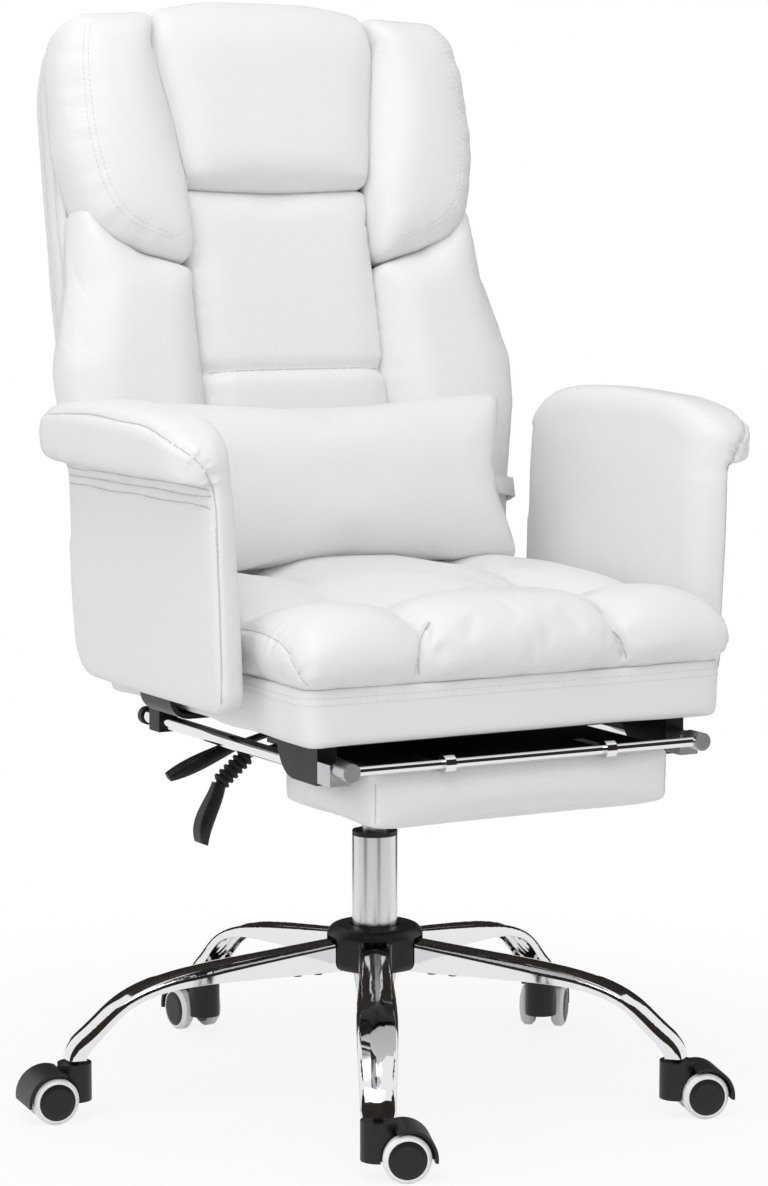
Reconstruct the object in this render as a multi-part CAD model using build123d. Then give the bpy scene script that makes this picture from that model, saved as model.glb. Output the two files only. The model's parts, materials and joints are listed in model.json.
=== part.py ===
from build123d import *

import os
from math import atan2, cos, degrees, hypot, radians, sin, tan

os.makedirs("parts", exist_ok=True)

# A high-backed office chair with a footrest that pulls out from under its seat, in millimetres.
# It faces -Y, +Z is up, and the origin is on the floor under the column.

# Fits
face_gap = 0.3
running_gap = 0.05
seat_fit = 0.03
cover_gap = 1.5

# Casters: twin wheels that trail behind a stem, under a hood
caster_count = 5
base_turn = -27.87
caster_circle_r = 342
caster_yaws = (-21.6, -17.6, 50, 94.5, 174)
wheel_r = 25
wheel_half_gap = 11
tyre_width = 15
tyre_wall = 5
tyre_edge = 3.5
cap_rise = 1.5
axle_r = 3
axle_trail = 27
hood_r = 18.5
hood_bottom_z = 20
hood_top_z = 61
hood_web_half = 9.5
wheel_room = 2
fender_gap = 3.2
fender_wall = 3.3
fender_low_angle = -8
fender_high_angle = 112
stem_r = 5.5
stem_bottom_z = 44
stem_top_z = 74

# Five-legged base of pressed steel
hub_r = 31
hub_bottom_z = 138
hub_height = 48
leg_root_z = 181
leg_tip_z = 66
leg_wall = 2.5
leg_crown = 0.1
leg_apex = 0.9
leg_shoulder = 0.19
sleeve_wall = 3.7
sleeve_height = 18
sleeve_crown_room = 3.6
leg_root_slope = -7
leg_steps = 18
# The top line of a leg, as shares of its reach and of its drop
leg_line = (
    (0, 0),
    (0.307, 0.109),
    (0.554, 0.2),
    (0.715, 0.304),
    (0.833, 0.47),
    (0.926, 0.704),
    (0.982, 0.86),
    (1, 1),
)
# The channel's width and depth at even steps along that line
leg_widths = (30, 32, 35, 39, 43, 44, 43, 40, 37)
leg_depths = (38, 34, 29, 24, 19, 15, 14, 17, 22)
cover_r = 53
cover_wall = 3
cover_bottom_z = 140
cover_height = 50
cover_round = 13
arch_round = 5
plug_r = 5
plug_height = 4
plug_reaches = (66, 90)

# Gas lift column
tube_r = 25
tube_wall = 2
tube_top_z = 290
tube_waist_z = 142
tube_foot_r = 14
tube_foot_z = 72
tube_floor = 6
collar_height = 5
bushing_length = 80
bearing_height = 6
bearing_r = 10
rod_r = 5
piston_r = 11
piston_height = 14
piston_z = 262
cylinder_r = 14
cylinder_wall = 2
cylinder_bottom_z = 176
cylinder_top_z = 410
cylinder_cap = 13
pin_r = 3
pin_length = 17
pin_depth = 12.5

# Tilt plate and its levers
mech_half_width = 85
mech_front_y = -85
mech_rear_y = 95
mech_bottom_z = 386
mech_wall = 3
flange_thick = 5.7
flange_margin = 18
boss_r = 22
boss_height = 18
bolt_r = 4
bolt_head_r = 7
bolt_head_height = 5
lever_rod_r = 4
lever_pin_r = 3
lever_boss_r = 7
lever_boss_half = 6
lever_ear = 4
gas_turn = -13.2
gas_pivot_reach = 50
gas_pivot_z = 424
gas_knee_reach = 66
gas_handle_reach = 150
gas_handle_z = 400
gas_tip_reach = 232
gas_tip_z = 364
gas_handle_width = 30
gas_handle_thick = 12
gas_handle_grip = 26
gas_handle_fall = 10
grip_round = 0.42
tilt_y = -20
tilt_pivot_x = -62
tilt_pivot_z = 412
bellows_top = (-167, 394)
bellows_end = (-200, 366)
paddle_end = (-224, 304)
bellows_r = 10
bellows_root_r = 7
bellows_ribs = 6
# One rib of the bellows, as shares of its pitch and radii
bellows_rib = ((0.0, bellows_root_r), (0.3, bellows_r), (0.55, bellows_r), (0.85, bellows_root_r))
paddle_width = 26
paddle_thick = 15
paddle_grip = 22

# Seat
seat_bottom_z = 446
seat_half_width = 244
seat_front_y = -318
seat_rear_y = 175
seat_corner = 20
board_thick = 12
board_margin = 14
seam_z = 505
seam_flare = 4.5
seam_setback = 4
cushion_rear_y = 108
cushion_bulge = 7
cushion_draw = 2
cushion_slab = 43
puff_rise = 32
puff_edge = 34
puff_corner = 21
puff_column_x = 115
puff_row_y = -170
puff_rear_y = 78
channel_width = 4

# Arms
arm_inner_x = 265
arm_thick = 37
arm_front_y = -222
arm_rear_y = 135
arm_bottom_z = 472
arm_shelf_z = 735
arm_corner = 45
arm_front_corner = 24
arm_edge = 8
arm_pad_rise = 42
arm_pad_slope = 4
arm_pad_overhang = 31
arm_pad_drop = 27
arm_pad_draw = 0.1
arm_pad_nose = 22
arm_tail_draw = 0.72
arm_pad_tail = 34
bracket_thick = 5
bracket_front_y = -36
bracket_width = 75
bracket_height = 100
bracket_reach = 130
bracket_bend = 18

# Footrest
rail_x = 207
rail_z = 418
rail_r = 8
rail_wall = 1.7
rail_rear_y = 142
slide_r = 6
sleeve_front_y = -282
sleeve_length = 95
sleeve_slant = 22
sleeve_half_width = 11
sleeve_round = 45
sleeve_bottom_z = 404
hanger_y = 92
hanger_length = 26
hanger_wall = 3
cap_r = 10
cap_length = 9
block_half = 11
block_length = 27
block_gap = 0.5
knuckle_r = 9.5
knuckle_length = 26
cross_rod_r = 5
cross_rod_y = -328
cross_rod_z = 424
lug_x = 95
lug_width = 12
lug_wall = 4
lug_tail = 60
rest_half_width = 177
rest_front_y = -322
rest_depth = 200
rest_top_z = 416
rest_height = 54
rest_corner = 13
rest_edge = 6
rest_board_thick = 6
rest_board_margin = 10

# Back, laid out along its own slope from the point where its face meets the seat
back_root_y = 141
back_root_z = 573
back_slope = 14
back_low = -18
pad_depth = 33
back_board_thick = 12
shell_half = 254
shell_depth = 95
shell_round = 18
pad_gap = 3
centre_half_width = 117
head_low = 438
mid_low = 228
head_top = 652
head_top_half = 134
head_shoulder_half = 142
head_shoulder_drop = 52
head_arch = 11
seam_share = 0.35
head_proud = 30
panel_proud = 9
panel_edge = 6
wing_proud = 42
wing_edge = 30
wing_half = 259
wing_low = 349
bolster_proud = 28
bolster_edge = 26
bolster_half = 282
back_corner = 14
bar_x = 120
bar_width = 36
bar_thick = 6
bar_top = 130
bar_bottom = -24
hinge_y = 196
hinge_z = 452
hinge_pin_r = 5
hinge_knuckle_r = 11
hinge_ear = 6
hinge_ear_r = 14
hinge_plate_front_y = 116
hinge_drop = 22
pillow_half_width = 224
pillow_low = -18
pillow_height = 202
pillow_thick = 84
pillow_draw = 14
pillow_tip = 8
pillow_side_bow = 200
pillow_long_bow = 600
# The pillow from its rear to its crown: shares of its thickness, and how far its edge draws in there
pillow_levels = ((0.0, 46), (0.1, 22), (0.28, 4), (0.42, 0), (0.56, 2), (0.72, 10), (0.87, 26), (1.0, 56))
pillow_seam = 0.42
strap_height = 22
strap_low = 66
strap_thick = 1.5
strap_room = 2

edge_steps = 4
least_corner = 2
sharp = 0.5
nearly_straight = 0.98
corner_share = 0.45


def block(x0, x1, y0, y1, z0, z1):
    return Pos((x0 + x1) / 2, (y0 + y1) / 2, (z0 + z1) / 2) * Box(x1 - x0, y1 - y0, z1 - z0)


def bar(radius, start, end):
    along = Vector(*end) - Vector(*start)
    plane = Plane(origin=start, z_dir=along)
    return plane.location * extrude(Circle(radius), along.length)


def ring(outer, inner, low, high):
    return extrude(Pos(0, 0, low) * (Circle(outer) - Circle(inner)), high - low)


def mirrored(solid):
    return mirror(solid, about=Plane.YZ)


def write(node, *pieces):
    solids = [solid for piece in pieces for solid in piece.solids()]
    export_step(solids[0] if len(solids) == 1 else Compound(solids), f"parts/{node}.step")


# The corners of an outline, moved inwards from each side by its share of a distance.
# A share belongs to the side that starts at the point in the same place of the list
def inset(points, gap, shares=None):
    shares = shares or [1] * len(points)
    moved = []
    for i, (x, y) in enumerate(points):
        before = points[i - 1]
        after = points[(i + 1) % len(points)]
        run_in = hypot(x - before[0], y - before[1])
        run_out = hypot(after[0] - x, after[1] - y)
        normal_in = (-(y - before[1]) / run_in, (x - before[0]) / run_in)
        normal_out = (-(after[1] - y) / run_out, (after[0] - x) / run_out)
        turn = normal_in[0] * normal_out[0] + normal_in[1] * normal_out[1]
        gap_in = gap * shares[i - 1]
        gap_out = gap * shares[i]
        if turn > nearly_straight:
            reach_in = gap_in / 2
            reach_out = gap_out / 2
        else:
            reach_in = (gap_in - turn * gap_out) / (1 - turn**2)
            reach_out = (gap_out - turn * gap_in) / (1 - turn**2)
        across = reach_in * normal_in[0] + reach_out * normal_out[0]
        along = reach_in * normal_in[1] + reach_out * normal_out[1]
        moved.append((x + across, y + along))
    return moved


# A closed outline of straight sides and arcs. A corner never takes more than its share of a side
def outline(points, corners):
    arcs = []
    for i, (x, y) in enumerate(points):
        here = Vector(x, y)
        way_in = here - Vector(*points[i - 1])
        way_out = Vector(*points[(i + 1) % len(points)]) - here
        half_turn = radians(way_in.get_angle(way_out)) / 2
        cut = min(corners[i] * tan(half_turn), corner_share * min(way_in.length, way_out.length))
        rise = cut * (1 / sin(half_turn) - 1 / tan(half_turn))
        inwards = (way_out.normalized() - way_in.normalized()).normalized()
        start = here - way_in.normalized() * cut
        end = here + way_out.normalized() * cut
        arcs.append((start, here + inwards * rise, end))
    edges = []
    for i, arc in enumerate(arcs):
        edges.append(Line(arcs[i - 1][2], arc[0]))
        edges.append(ThreePointArc(*arc))
    return make_face(edges)


# A stuffed pad over an outline: a rounded rear edge, and a crown that draws in at the front
def pad(points, corners, rear, front, rear_edge, crown_draw, crown_depth, shares=None):
    angles = [radians(90 * step / edge_steps) for step in range(edge_steps + 1)]
    faces = []
    for a in angles:
        draw = rear_edge * (1 - sin(a))
        tighter = [max(corner - draw, least_corner) for corner in corners]
        faces.append(Pos(0, 0, rear + rear_edge * (1 - cos(a))) * outline(inset(points, draw), tighter))
    for a in angles:
        draw = crown_draw * (1 - cos(a))
        tighter = [max(corner - draw, least_corner) for corner in corners]
        level = front - crown_depth * (1 - sin(a))
        faces.append(Pos(0, 0, level) * outline(inset(points, draw, shares), tighter))
    return loft(faces, ruled=True)


# A closed outline on both sides of a line, for a strip of even thickness
def strip(points, thick):
    sides = ([], [])
    for i, (x, y) in enumerate(points):
        before = points[max(i - 1, 0)]
        after = points[min(i + 1, len(points) - 1)]
        turns = []
        for a, b in ((before, (x, y)), ((x, y), after)):
            run = hypot(b[0] - a[0], b[1] - a[1])
            if run:
                turns.append((-(b[1] - a[1]) / run, (b[0] - a[0]) / run))
        one, other = turns[0], turns[-1]
        reach = thick / 2 / (1 + one[0] * other[0] + one[1] * other[1])
        step = (reach * (one[0] + other[0]), reach * (one[1] + other[1]))
        sides[0].append((x + step[0], y + step[1]))
        sides[1].append((x - step[0], y - step[1]))
    return make_face(Polyline(*sides[0], *reversed(sides[1]), close=True))


# Casters
sleeve_r = stem_r + running_gap + sleeve_wall
tyre_outer_y = wheel_half_gap + tyre_width
core_r = wheel_r - tyre_wall
upright = Plane(origin=(axle_trail, 0, wheel_r), x_dir=(1, 0, 0), z_dir=(0, -1, 0))


def across(face, half):
    return upright.location * extrude(face, half, both=True)


def caster_hood():
    fender_in = wheel_r + fender_gap
    fender_out = fender_in + fender_wall
    far = 3 * fender_out
    low = radians(fender_low_angle)
    high = radians(fender_high_angle)
    low_corner = (far * cos(low), far * sin(low))
    high_corner = (far * cos(high), far * sin(high))
    sector = make_face(Polyline((0, 0), low_corner, (far, far), high_corner, close=True))
    fender = across((Circle(fender_out) - Circle(fender_in)) & sector, tyre_outer_y)
    web = across(Circle(fender_out) & sector, hood_web_half)
    hub = across(Circle(axle_r * 3), hood_web_half)
    housing = Pos(0, 0, hood_bottom_z) * extrude(Circle(hood_r), hood_top_z - hood_bottom_z)
    solid = fender + web + hub + housing
    arch = across(Circle(wheel_r + wheel_room), tyre_outer_y + wheel_room)
    arch -= across(Circle(wheel_r + 2 * wheel_room), hood_web_half)
    solid -= arch
    solid -= across(Circle(axle_r + running_gap), tyre_outer_y)
    solid -= Pos(0, 0, stem_bottom_z) * extrude(Circle(stem_r + seat_fit), hood_top_z)
    return solid


def caster_wheels():
    half = tyre_outer_y - wheel_half_gap
    wheel = Plane(origin=(axle_trail, wheel_half_gap, wheel_r), x_dir=(1, 0, 0), z_dir=(0, 1, 0))
    core = extrude(Circle(core_r), half)
    cap = loft([Pos(0, 0, half) * Circle(core_r), Pos(0, 0, half + cap_rise) * Circle(core_r - tyre_wall)])
    core = wheel.location * (core + cap - extrude(Circle(axle_r + seat_fit), half))
    axle = across(Circle(axle_r), tyre_outer_y)
    return core, mirror(core, about=Plane.XZ), axle


def caster_tyres():
    wheel = Plane(origin=(axle_trail, wheel_half_gap, wheel_r), x_dir=(1, 0, 0), z_dir=(0, 1, 0))
    edge = tyre_edge
    levels = ((0, edge), (edge, 0), (tyre_width - edge, 0), (tyre_width, edge))
    tyre = loft([Pos(0, 0, level) * Circle(wheel_r - draw) for level, draw in levels], ruled=True)
    tyre -= extrude(Circle(core_r + seat_fit), tyre_width)
    tyre = wheel.location * tyre
    return tyre, mirror(tyre, about=Plane.XZ)


hood = caster_hood()
stem = Pos(0, 0, stem_bottom_z) * extrude(Circle(stem_r), stem_top_z - stem_bottom_z)
wheels = caster_wheels()
tyres = caster_tyres()
leg_angles = [base_turn + 360 / caster_count * i for i in range(caster_count)]
for i, angle in enumerate(leg_angles):
    turn = radians(angle)
    place = Pos(caster_circle_r * sin(turn), -caster_circle_r * cos(turn), 0) * Rot(0, 0, caster_yaws[i])
    write(f"caster_{i + 1}_hood", place * hood, place * stem)
    write(f"caster_{i + 1}_wheels", *[place * piece for piece in wheels])
    write(f"caster_{i + 1}_tyres", *[place * piece for piece in tyres])


# Base
# The pressed channel of a leg: down one side of its skin, and back inside it
def leg_section(width, depth):
    half = width / 2
    inner = half - leg_wall
    shoulder = -leg_crown * width
    skin = ((-half, -depth), (-half, shoulder), (0, 0), (half, shoulder), (half, -depth))
    lining = ((inner, -depth), (inner, shoulder - leg_wall), (0, -leg_wall), (-inner, shoulder - leg_wall))
    corners = []
    for reach in (half, inner):
        corners += [sharp, leg_shoulder * reach * 2, leg_apex * reach * 2, leg_shoulder * reach * 2, sharp]
    return outline((*skin, *lining, (-inner, -depth)), corners)


leg_root_r = hub_r / 2
leg_reach = caster_circle_r + sleeve_r + face_gap + leg_wall - leg_root_r
leg_drop = leg_root_z - leg_tip_z
leg_top = Spline(
    *[(leg_root_r + reach * leg_reach, 0, leg_root_z - drop * leg_drop) for reach, drop in leg_line],
    tangents=((cos(radians(leg_root_slope)), 0, sin(radians(leg_root_slope))), (0, 0, -1)),
)


# A value between those of a list given at even steps
def blend(values, share):
    step = share * (len(values) - 1)
    whole = min(int(step), len(values) - 2)
    return values[whole] + (step - whole) * (values[whole + 1] - values[whole])


def leg_body():
    faces = []
    for i in range(leg_steps + 1):
        share = i / leg_steps
        plane = Plane(origin=leg_top.position_at(share), x_dir=(0, 1, 0), z_dir=leg_top.tangent_at(share))
        faces.append(plane.location * leg_section(blend(leg_widths, share), blend(leg_depths, share)))
    return loft(faces)


# The stem's sleeve in a leg tip, cut back along the leg's last bend
def stem_sleeve():
    low = leg_tip_z + face_gap
    solid = Pos(caster_circle_r, 0, 0) * ring(sleeve_r, stem_r + running_gap, low, leg_tip_z + sleeve_height)
    knee_reach, knee_drop = leg_line[-2]
    lean = degrees(atan2((1 - knee_reach) * leg_reach, (1 - knee_drop) * leg_drop))
    beyond = block(-sleeve_crown_room, 2 * sleeve_r, -sleeve_r, sleeve_r, -sleeve_r, 2 * sleeve_height)
    return solid - Pos(caster_circle_r + sleeve_r, 0, low) * Rot(0, -lean, 0) * beyond


hub = ring(hub_r, tube_r + running_gap, hub_bottom_z, hub_bottom_z + hub_height)
leg = leg_body() - Pos(0, 0, leg_tip_z) * extrude(Circle(hub_r + face_gap), leg_root_z)
sleeve = stem_sleeve()
turns = [Rot(0, 0, angle - 90) for angle in leg_angles]
write("base_hub", hub)
write("base_legs", *[turn * leg for turn in turns])
write("stem_sleeves", *[turn * sleeve for turn in turns])


def hub_cover():
    top = cover_bottom_z + cover_height
    inner = tube_r + cover_gap
    outer = ((inner, cover_bottom_z), (cover_r, cover_bottom_z), (cover_r, top), (inner, top))
    skin = outline(outer, (sharp, cover_round, cover_round, sharp))
    room_in = inner - 1
    room_out = cover_r - cover_wall
    room_low = cover_bottom_z - 1
    room_top = hub_bottom_z + hub_height + face_gap
    room = ((room_in, room_low), (room_out, room_low), (room_out, room_top), (room_in, room_top))
    hollow = outline(room, (sharp, sharp, cover_round - cover_wall, sharp))
    section = Plane.XZ.location * (skin - hollow)
    solid = revolve(section, axis=Axis.Z)
    half = leg_widths[0] / 2 + 2 * cover_gap
    arch_top = leg_root_z - cover_gap
    arch = outline(
        ((-half, room_low), (half, room_low), (half, arch_top), (-half, arch_top)),
        (sharp, sharp, arch_round, arch_round),
    )
    arch = Plane(origin=(hub_r, 0, 0), x_dir=(0, 1, 0), z_dir=(1, 0, 0)).location * extrude(arch, cover_r)
    for turn in turns:
        solid -= turn * arch
    return solid


write("hub_cover", hub_cover())
plugs = []
for turn in turns:
    for reach in plug_reaches:
        share = (reach - leg_root_r) / leg_top.length
        plate_z = leg_top.position_at(share).Z - blend(leg_depths, share)
        half = blend(leg_widths, share) / 2 - leg_wall - face_gap
        foot = Pos(reach, 0, plate_z - plug_height) * extrude(Circle(plug_r), plug_height)
        bridge = block(reach - plug_r, reach + plug_r, -half, half, plate_z, plate_z + plug_height)
        plugs.append(turn * (foot + bridge))
write("leg_plugs", *plugs)


# Gas lift column
def column_tube():
    foot_in = tube_foot_r - tube_wall
    bore = tube_r - tube_wall
    floor_z = tube_foot_z + tube_floor
    points = (
        (rod_r + running_gap, tube_foot_z),
        (tube_foot_r, tube_foot_z),
        (tube_r, tube_waist_z),
        (tube_r, tube_top_z),
        (bore, tube_top_z),
        (bore, tube_waist_z),
        (foot_in, floor_z),
        (rod_r + running_gap, floor_z),
    )
    return revolve(Plane.XZ.location * make_face(Polyline(*points, close=True)), axis=Axis.Z)


collar_top_z = tube_top_z + collar_height
bushing_r = tube_r - tube_wall - seat_fit
bushing = ring(bushing_r, cylinder_r + running_gap, tube_top_z - bushing_length, collar_top_z)
collar = ring(tube_r, cylinder_r + running_gap, tube_top_z + seat_fit, collar_top_z)
bearing_z = tube_foot_z + tube_floor
shoulder_z = bearing_z + bearing_height + face_gap
piston = bar(rod_r, (0, 0, tube_foot_z), (0, 0, piston_z))
piston += Pos(0, 0, piston_z) * extrude(Circle(piston_r), piston_height)
piston += Pos(0, 0, shoulder_z) * extrude(Circle(bearing_r), bearing_height / 2)
cylinder = bar(cylinder_r, (0, 0, cylinder_bottom_z), (0, 0, cylinder_top_z))
cylinder -= bar(
    cylinder_r - cylinder_wall,
    (0, 0, cylinder_bottom_z + cylinder_cap),
    (0, 0, cylinder_top_z - pin_depth - cylinder_cap),
)
cylinder -= bar(rod_r + running_gap, (0, 0, cylinder_bottom_z - 1), (0, 0, cylinder_bottom_z + cylinder_cap))
cylinder -= bar(pin_r + running_gap, (0, 0, cylinder_top_z - pin_depth), (0, 0, cylinder_top_z + 1))
pin_top_z = gas_pivot_z - lever_rod_r - face_gap
write("column_tube", column_tube())
write("column_bushing", bushing + collar)
write("lift_bearing", ring(bearing_r, rod_r + face_gap, bearing_z, bearing_z + bearing_height))
write("piston_rod", piston)
write("gas_cylinder", cylinder)
write("release_pin", bar(pin_r, (0, 0, pin_top_z - pin_length), (0, 0, pin_top_z)))

# Tilt plate, with the pivots of both levers
flange_top_z = seat_bottom_z - face_gap
flange_z = flange_top_z - flange_thick
gas_place = Rot(0, 0, 180 + gas_turn)
bolt_room = bolt_r + face_gap
mech_bolts = [
    (x, y)
    for x in (-mech_half_width - flange_margin / 2, mech_half_width + flange_margin / 2)
    for y in (mech_front_y - flange_margin / 2, mech_rear_y + flange_margin / 2)
]
ear_in = lever_boss_half + face_gap
ear_out = ear_in + lever_ear
gas_pivot = gas_place * Pos(gas_pivot_reach, 0, 0)
tilt_pivot = Pos(tilt_pivot_x, tilt_y, 0)


def pivot_bar(radius, pivot_z):
    return bar(radius, (0, -ear_out, pivot_z), (0, ear_out, pivot_z))


def tilt_plate():
    solid = block(-mech_half_width, mech_half_width, mech_front_y, mech_rear_y, mech_bottom_z, flange_z)
    solid += block(
        -mech_half_width - flange_margin,
        mech_half_width + flange_margin,
        mech_front_y - flange_margin,
        mech_rear_y + flange_margin,
        flange_z,
        flange_top_z,
    )
    solid -= block(
        mech_wall - mech_half_width,
        mech_half_width - mech_wall,
        mech_front_y + mech_wall,
        mech_rear_y - mech_wall,
        mech_bottom_z + mech_wall,
        flange_top_z + 1,
    )
    solid += Pos(0, 0, mech_bottom_z) * extrude(Circle(boss_r), boss_height)
    solid -= bar(cylinder_r + seat_fit, (0, 0, mech_bottom_z - 1), (0, 0, flange_top_z))
    for place, pivot_z in ((gas_pivot, gas_pivot_z), (tilt_pivot, tilt_pivot_z)):
        ear = block(-lever_boss_r, lever_boss_r, ear_in, ear_out, mech_bottom_z, pivot_z + lever_boss_r)
        solid += place * ear
        solid += place * mirror(ear, about=Plane.XZ)
        solid -= place * pivot_bar(lever_pin_r + seat_fit, pivot_z)
    for x, y in mech_bolts:
        solid -= bar(bolt_room, (x, y, flange_z - 1), (x, y, flange_top_z + 1))
    slot = 2 * lever_rod_r
    wall_x = mech_half_width
    solid -= gas_place * block(
        wall_x - 4 * mech_wall, wall_x + 4 * mech_wall, -slot, slot, gas_handle_z - slot, gas_pivot_z + slot
    )
    solid -= block(
        -wall_x - mech_wall,
        mech_wall - wall_x,
        tilt_y - slot,
        tilt_y + slot,
        tilt_pivot_z - 2 * slot,
        tilt_pivot_z + 2 * slot,
    )
    return solid


# A round rod bent at its inner corners
def bent_rod(points, radius):
    solid = bar(radius, points[0], points[1])
    for start, end in zip(points[1:], points[2:]):
        solid += bar(radius, start, end) + Pos(*start) * Sphere(radius)
    return solid


# A grip between two points: each station gives its place along the line, its width and its thickness
def grip(start, end, stations):
    run = hypot(end[0] - start[0], end[1] - start[1])
    along = ((end[0] - start[0]) / run, 0, (end[1] - start[1]) / run)
    faces = []
    for share, width, thick, lift in stations:
        x = start[0] + share * run * along[0] - lift * along[2]
        z = start[1] + share * run * along[2] + lift * along[0]
        plane = Plane(origin=(x, 0, z), x_dir=(0, 1, 0), z_dir=along)
        faces.append(plane.location * RectangleRounded(width, thick, grip_round * thick))
    return loft(faces)


gas_pin = gas_pivot * pivot_bar(lever_pin_r, gas_pivot_z)
tilt_pin = tilt_pivot * pivot_bar(lever_pin_r, tilt_pivot_z)


def lever_boss(pivot_z):
    return bar(lever_boss_r, (0, -lever_boss_half, pivot_z), (0, lever_boss_half, pivot_z))


gas_knee = (gas_knee_reach, 0, gas_pivot_z)
gas_rod_end = (gas_handle_reach + gas_handle_grip, 0, gas_handle_z - gas_handle_fall)
gas_rod = gas_place * bent_rod(((-lever_rod_r, 0, gas_pivot_z), gas_knee, gas_rod_end), lever_rod_r)
gas_rod += gas_pivot * lever_boss(gas_pivot_z)
gas_rod -= gas_pivot * pivot_bar(lever_pin_r + running_gap, gas_pivot_z)
gas_handle = grip(
    (gas_handle_reach, gas_handle_z),
    (gas_tip_reach, gas_tip_z),
    (
        (0.0, 0.45 * gas_handle_width, gas_handle_thick, 0),
        (0.35, 0.8 * gas_handle_width, 1.1 * gas_handle_thick, 0),
        (0.75, gas_handle_width, 1.1 * gas_handle_thick, 0),
        (1.0, 0.8 * gas_handle_width, 0.6 * gas_handle_thick, 0),
    ),
)
gas_socket_end = (gas_rod_end[0] + 2 * seat_fit, 0, gas_rod_end[2])
gas_handle -= bar(lever_rod_r + seat_fit, gas_knee, gas_socket_end)
write("gas_lever_rod", gas_rod)
write("gas_lever_handle", gas_place * gas_handle)


# Recline lever: a rod through a ribbed bellows into a hand paddle
def place_tilt(point):
    return (point[0], tilt_y, point[1])


bellows_start = Vector(*place_tilt(bellows_top))
bellows_way = Vector(*place_tilt(bellows_end)) - bellows_start
paddle_start = Vector(*place_tilt(bellows_end))
paddle_way = Vector(*place_tilt(paddle_end)) - paddle_start


def tilt_rod(radius, reach):
    last = paddle_start + paddle_way.normalized() * reach
    corners = [place_tilt(point) for point in ((tilt_pivot_x, tilt_pivot_z), bellows_top, bellows_end)]
    return bent_rod((*corners, (last.X, last.Y, last.Z)), radius)


def bellows():
    pitch = (bellows_way.length - 2 * face_gap) / bellows_ribs
    faces = []
    for rib in range(bellows_ribs):
        for share, radius in bellows_rib:
            origin = bellows_start + bellows_way.normalized() * (face_gap + (rib + share) * pitch)
            plane = Plane(origin=origin, x_dir=(0, 1, 0), z_dir=bellows_way)
            faces.append(plane.location * Circle(radius))
    return loft(faces, ruled=True)


recline_rod = tilt_rod(lever_rod_r, paddle_grip) + tilt_pivot * lever_boss(tilt_pivot_z)
recline_rod -= tilt_pivot * pivot_bar(lever_pin_r + running_gap, tilt_pivot_z)
paddle_socket = tilt_rod(lever_rod_r + seat_fit, paddle_grip + 2 * seat_fit)
paddle = Pos(0, tilt_y, 0) * grip(
    bellows_end,
    paddle_end,
    (
        (0.0, 0.62 * paddle_width, 0.9 * paddle_thick, 0),
        (0.25, 0.8 * paddle_width, paddle_thick, 0),
        (0.7, paddle_width, paddle_thick, -2),
        (1.0, 0.85 * paddle_width, 0.6 * paddle_thick, 3),
    ),
)
paddle -= paddle_socket
write("recline_lever_rod", recline_rod)
write("recline_lever_bellows", bellows() - paddle_socket - paddle)
write("recline_lever_paddle", paddle)
write("mechanism_housing", tilt_plate())


# Seat
def rounded_block(half, front, rear, corner):
    return outline(((-half, front), (half, front), (half, rear), (-half, rear)), [corner] * 4)


board_half = seat_half_width - board_margin
board_front_y = seat_front_y + board_margin
board_rear_y = seat_rear_y - board_margin
board = Pos(0, 0, seat_bottom_z) * extrude(
    rounded_block(board_half, board_front_y, board_rear_y, seat_corner), board_thick
)
pocket = Pos(0, 0, seat_bottom_z - 1) * extrude(
    rounded_block(board_half + face_gap, board_front_y - face_gap, board_rear_y + face_gap, seat_corner),
    board_thick + 1 + face_gap,
)
seam_half = seat_half_width + seam_flare
box_shape = loft(
    [
        Pos(0, 0, seat_bottom_z) * rounded_block(seat_half_width, seat_front_y, seat_rear_y, seat_corner),
        Pos(0, 0, seam_z) * rounded_block(seam_half, seat_front_y + seam_setback, seat_rear_y, seat_corner),
    ],
    ruled=True,
)
write("seat_board", board)
write("seat_box", box_shape - pocket)


def seat_cushion():
    low = seam_z + face_gap
    top = seam_z + cushion_slab
    front = seat_front_y + seam_setback
    bulge = seam_half + cushion_bulge
    bulge_front = front - cushion_bulge
    edge_x = bulge - cushion_draw
    slab = loft(
        [
            Pos(0, 0, low) * rounded_block(seam_half, front, cushion_rear_y, seat_corner),
            Pos(0, 0, (low + top) / 2) * rounded_block(bulge, bulge_front, cushion_rear_y, seat_corner),
            Pos(0, 0, top) * rounded_block(edge_x, bulge_front, cushion_rear_y, seat_corner),
        ],
        ruled=True,
    )
    half = channel_width / 2
    columns = (
        (-edge_x, -puff_column_x - half),
        (half - puff_column_x, puff_column_x - half),
        (puff_column_x + half, edge_x),
    )
    rows = ((bulge_front, puff_row_y - half), (puff_row_y + half, puff_rear_y))
    solid = slab
    for x0, x1 in columns:
        for y0, y1 in rows:
            puff = pad(
                ((x0, y0), (x1, y0), (x1, y1), (x0, y1)),
                [puff_corner] * 4,
                top - channel_width,
                top + puff_rise,
                running_gap,
                puff_edge,
                puff_rise,
            )
            solid += puff
    return solid


write("seat_cushion", seat_cushion())


def bolt(x, y, z, length):
    head = Pos(x, y, z - bolt_head_height) * extrude(RegularPolygon(bolt_head_r, 6), bolt_head_height)
    return head + bar(bolt_r, (x, y, z), (x, y, z + length))


# Arms
arm_side = Plane(origin=(arm_inner_x, 0, 0), x_dir=(0, 1, 0), z_dir=(1, 0, 0))
arm_panel = arm_side.location * pad(
    (
        (arm_front_y, arm_bottom_z),
        (arm_rear_y, arm_bottom_z),
        (arm_rear_y, arm_shelf_z),
        (arm_front_y, arm_shelf_z),
    ),
    (arm_front_corner, arm_corner, arm_edge, arm_edge),
    0,
    arm_thick,
    arm_edge,
    arm_edge,
    arm_edge,
)


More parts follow.
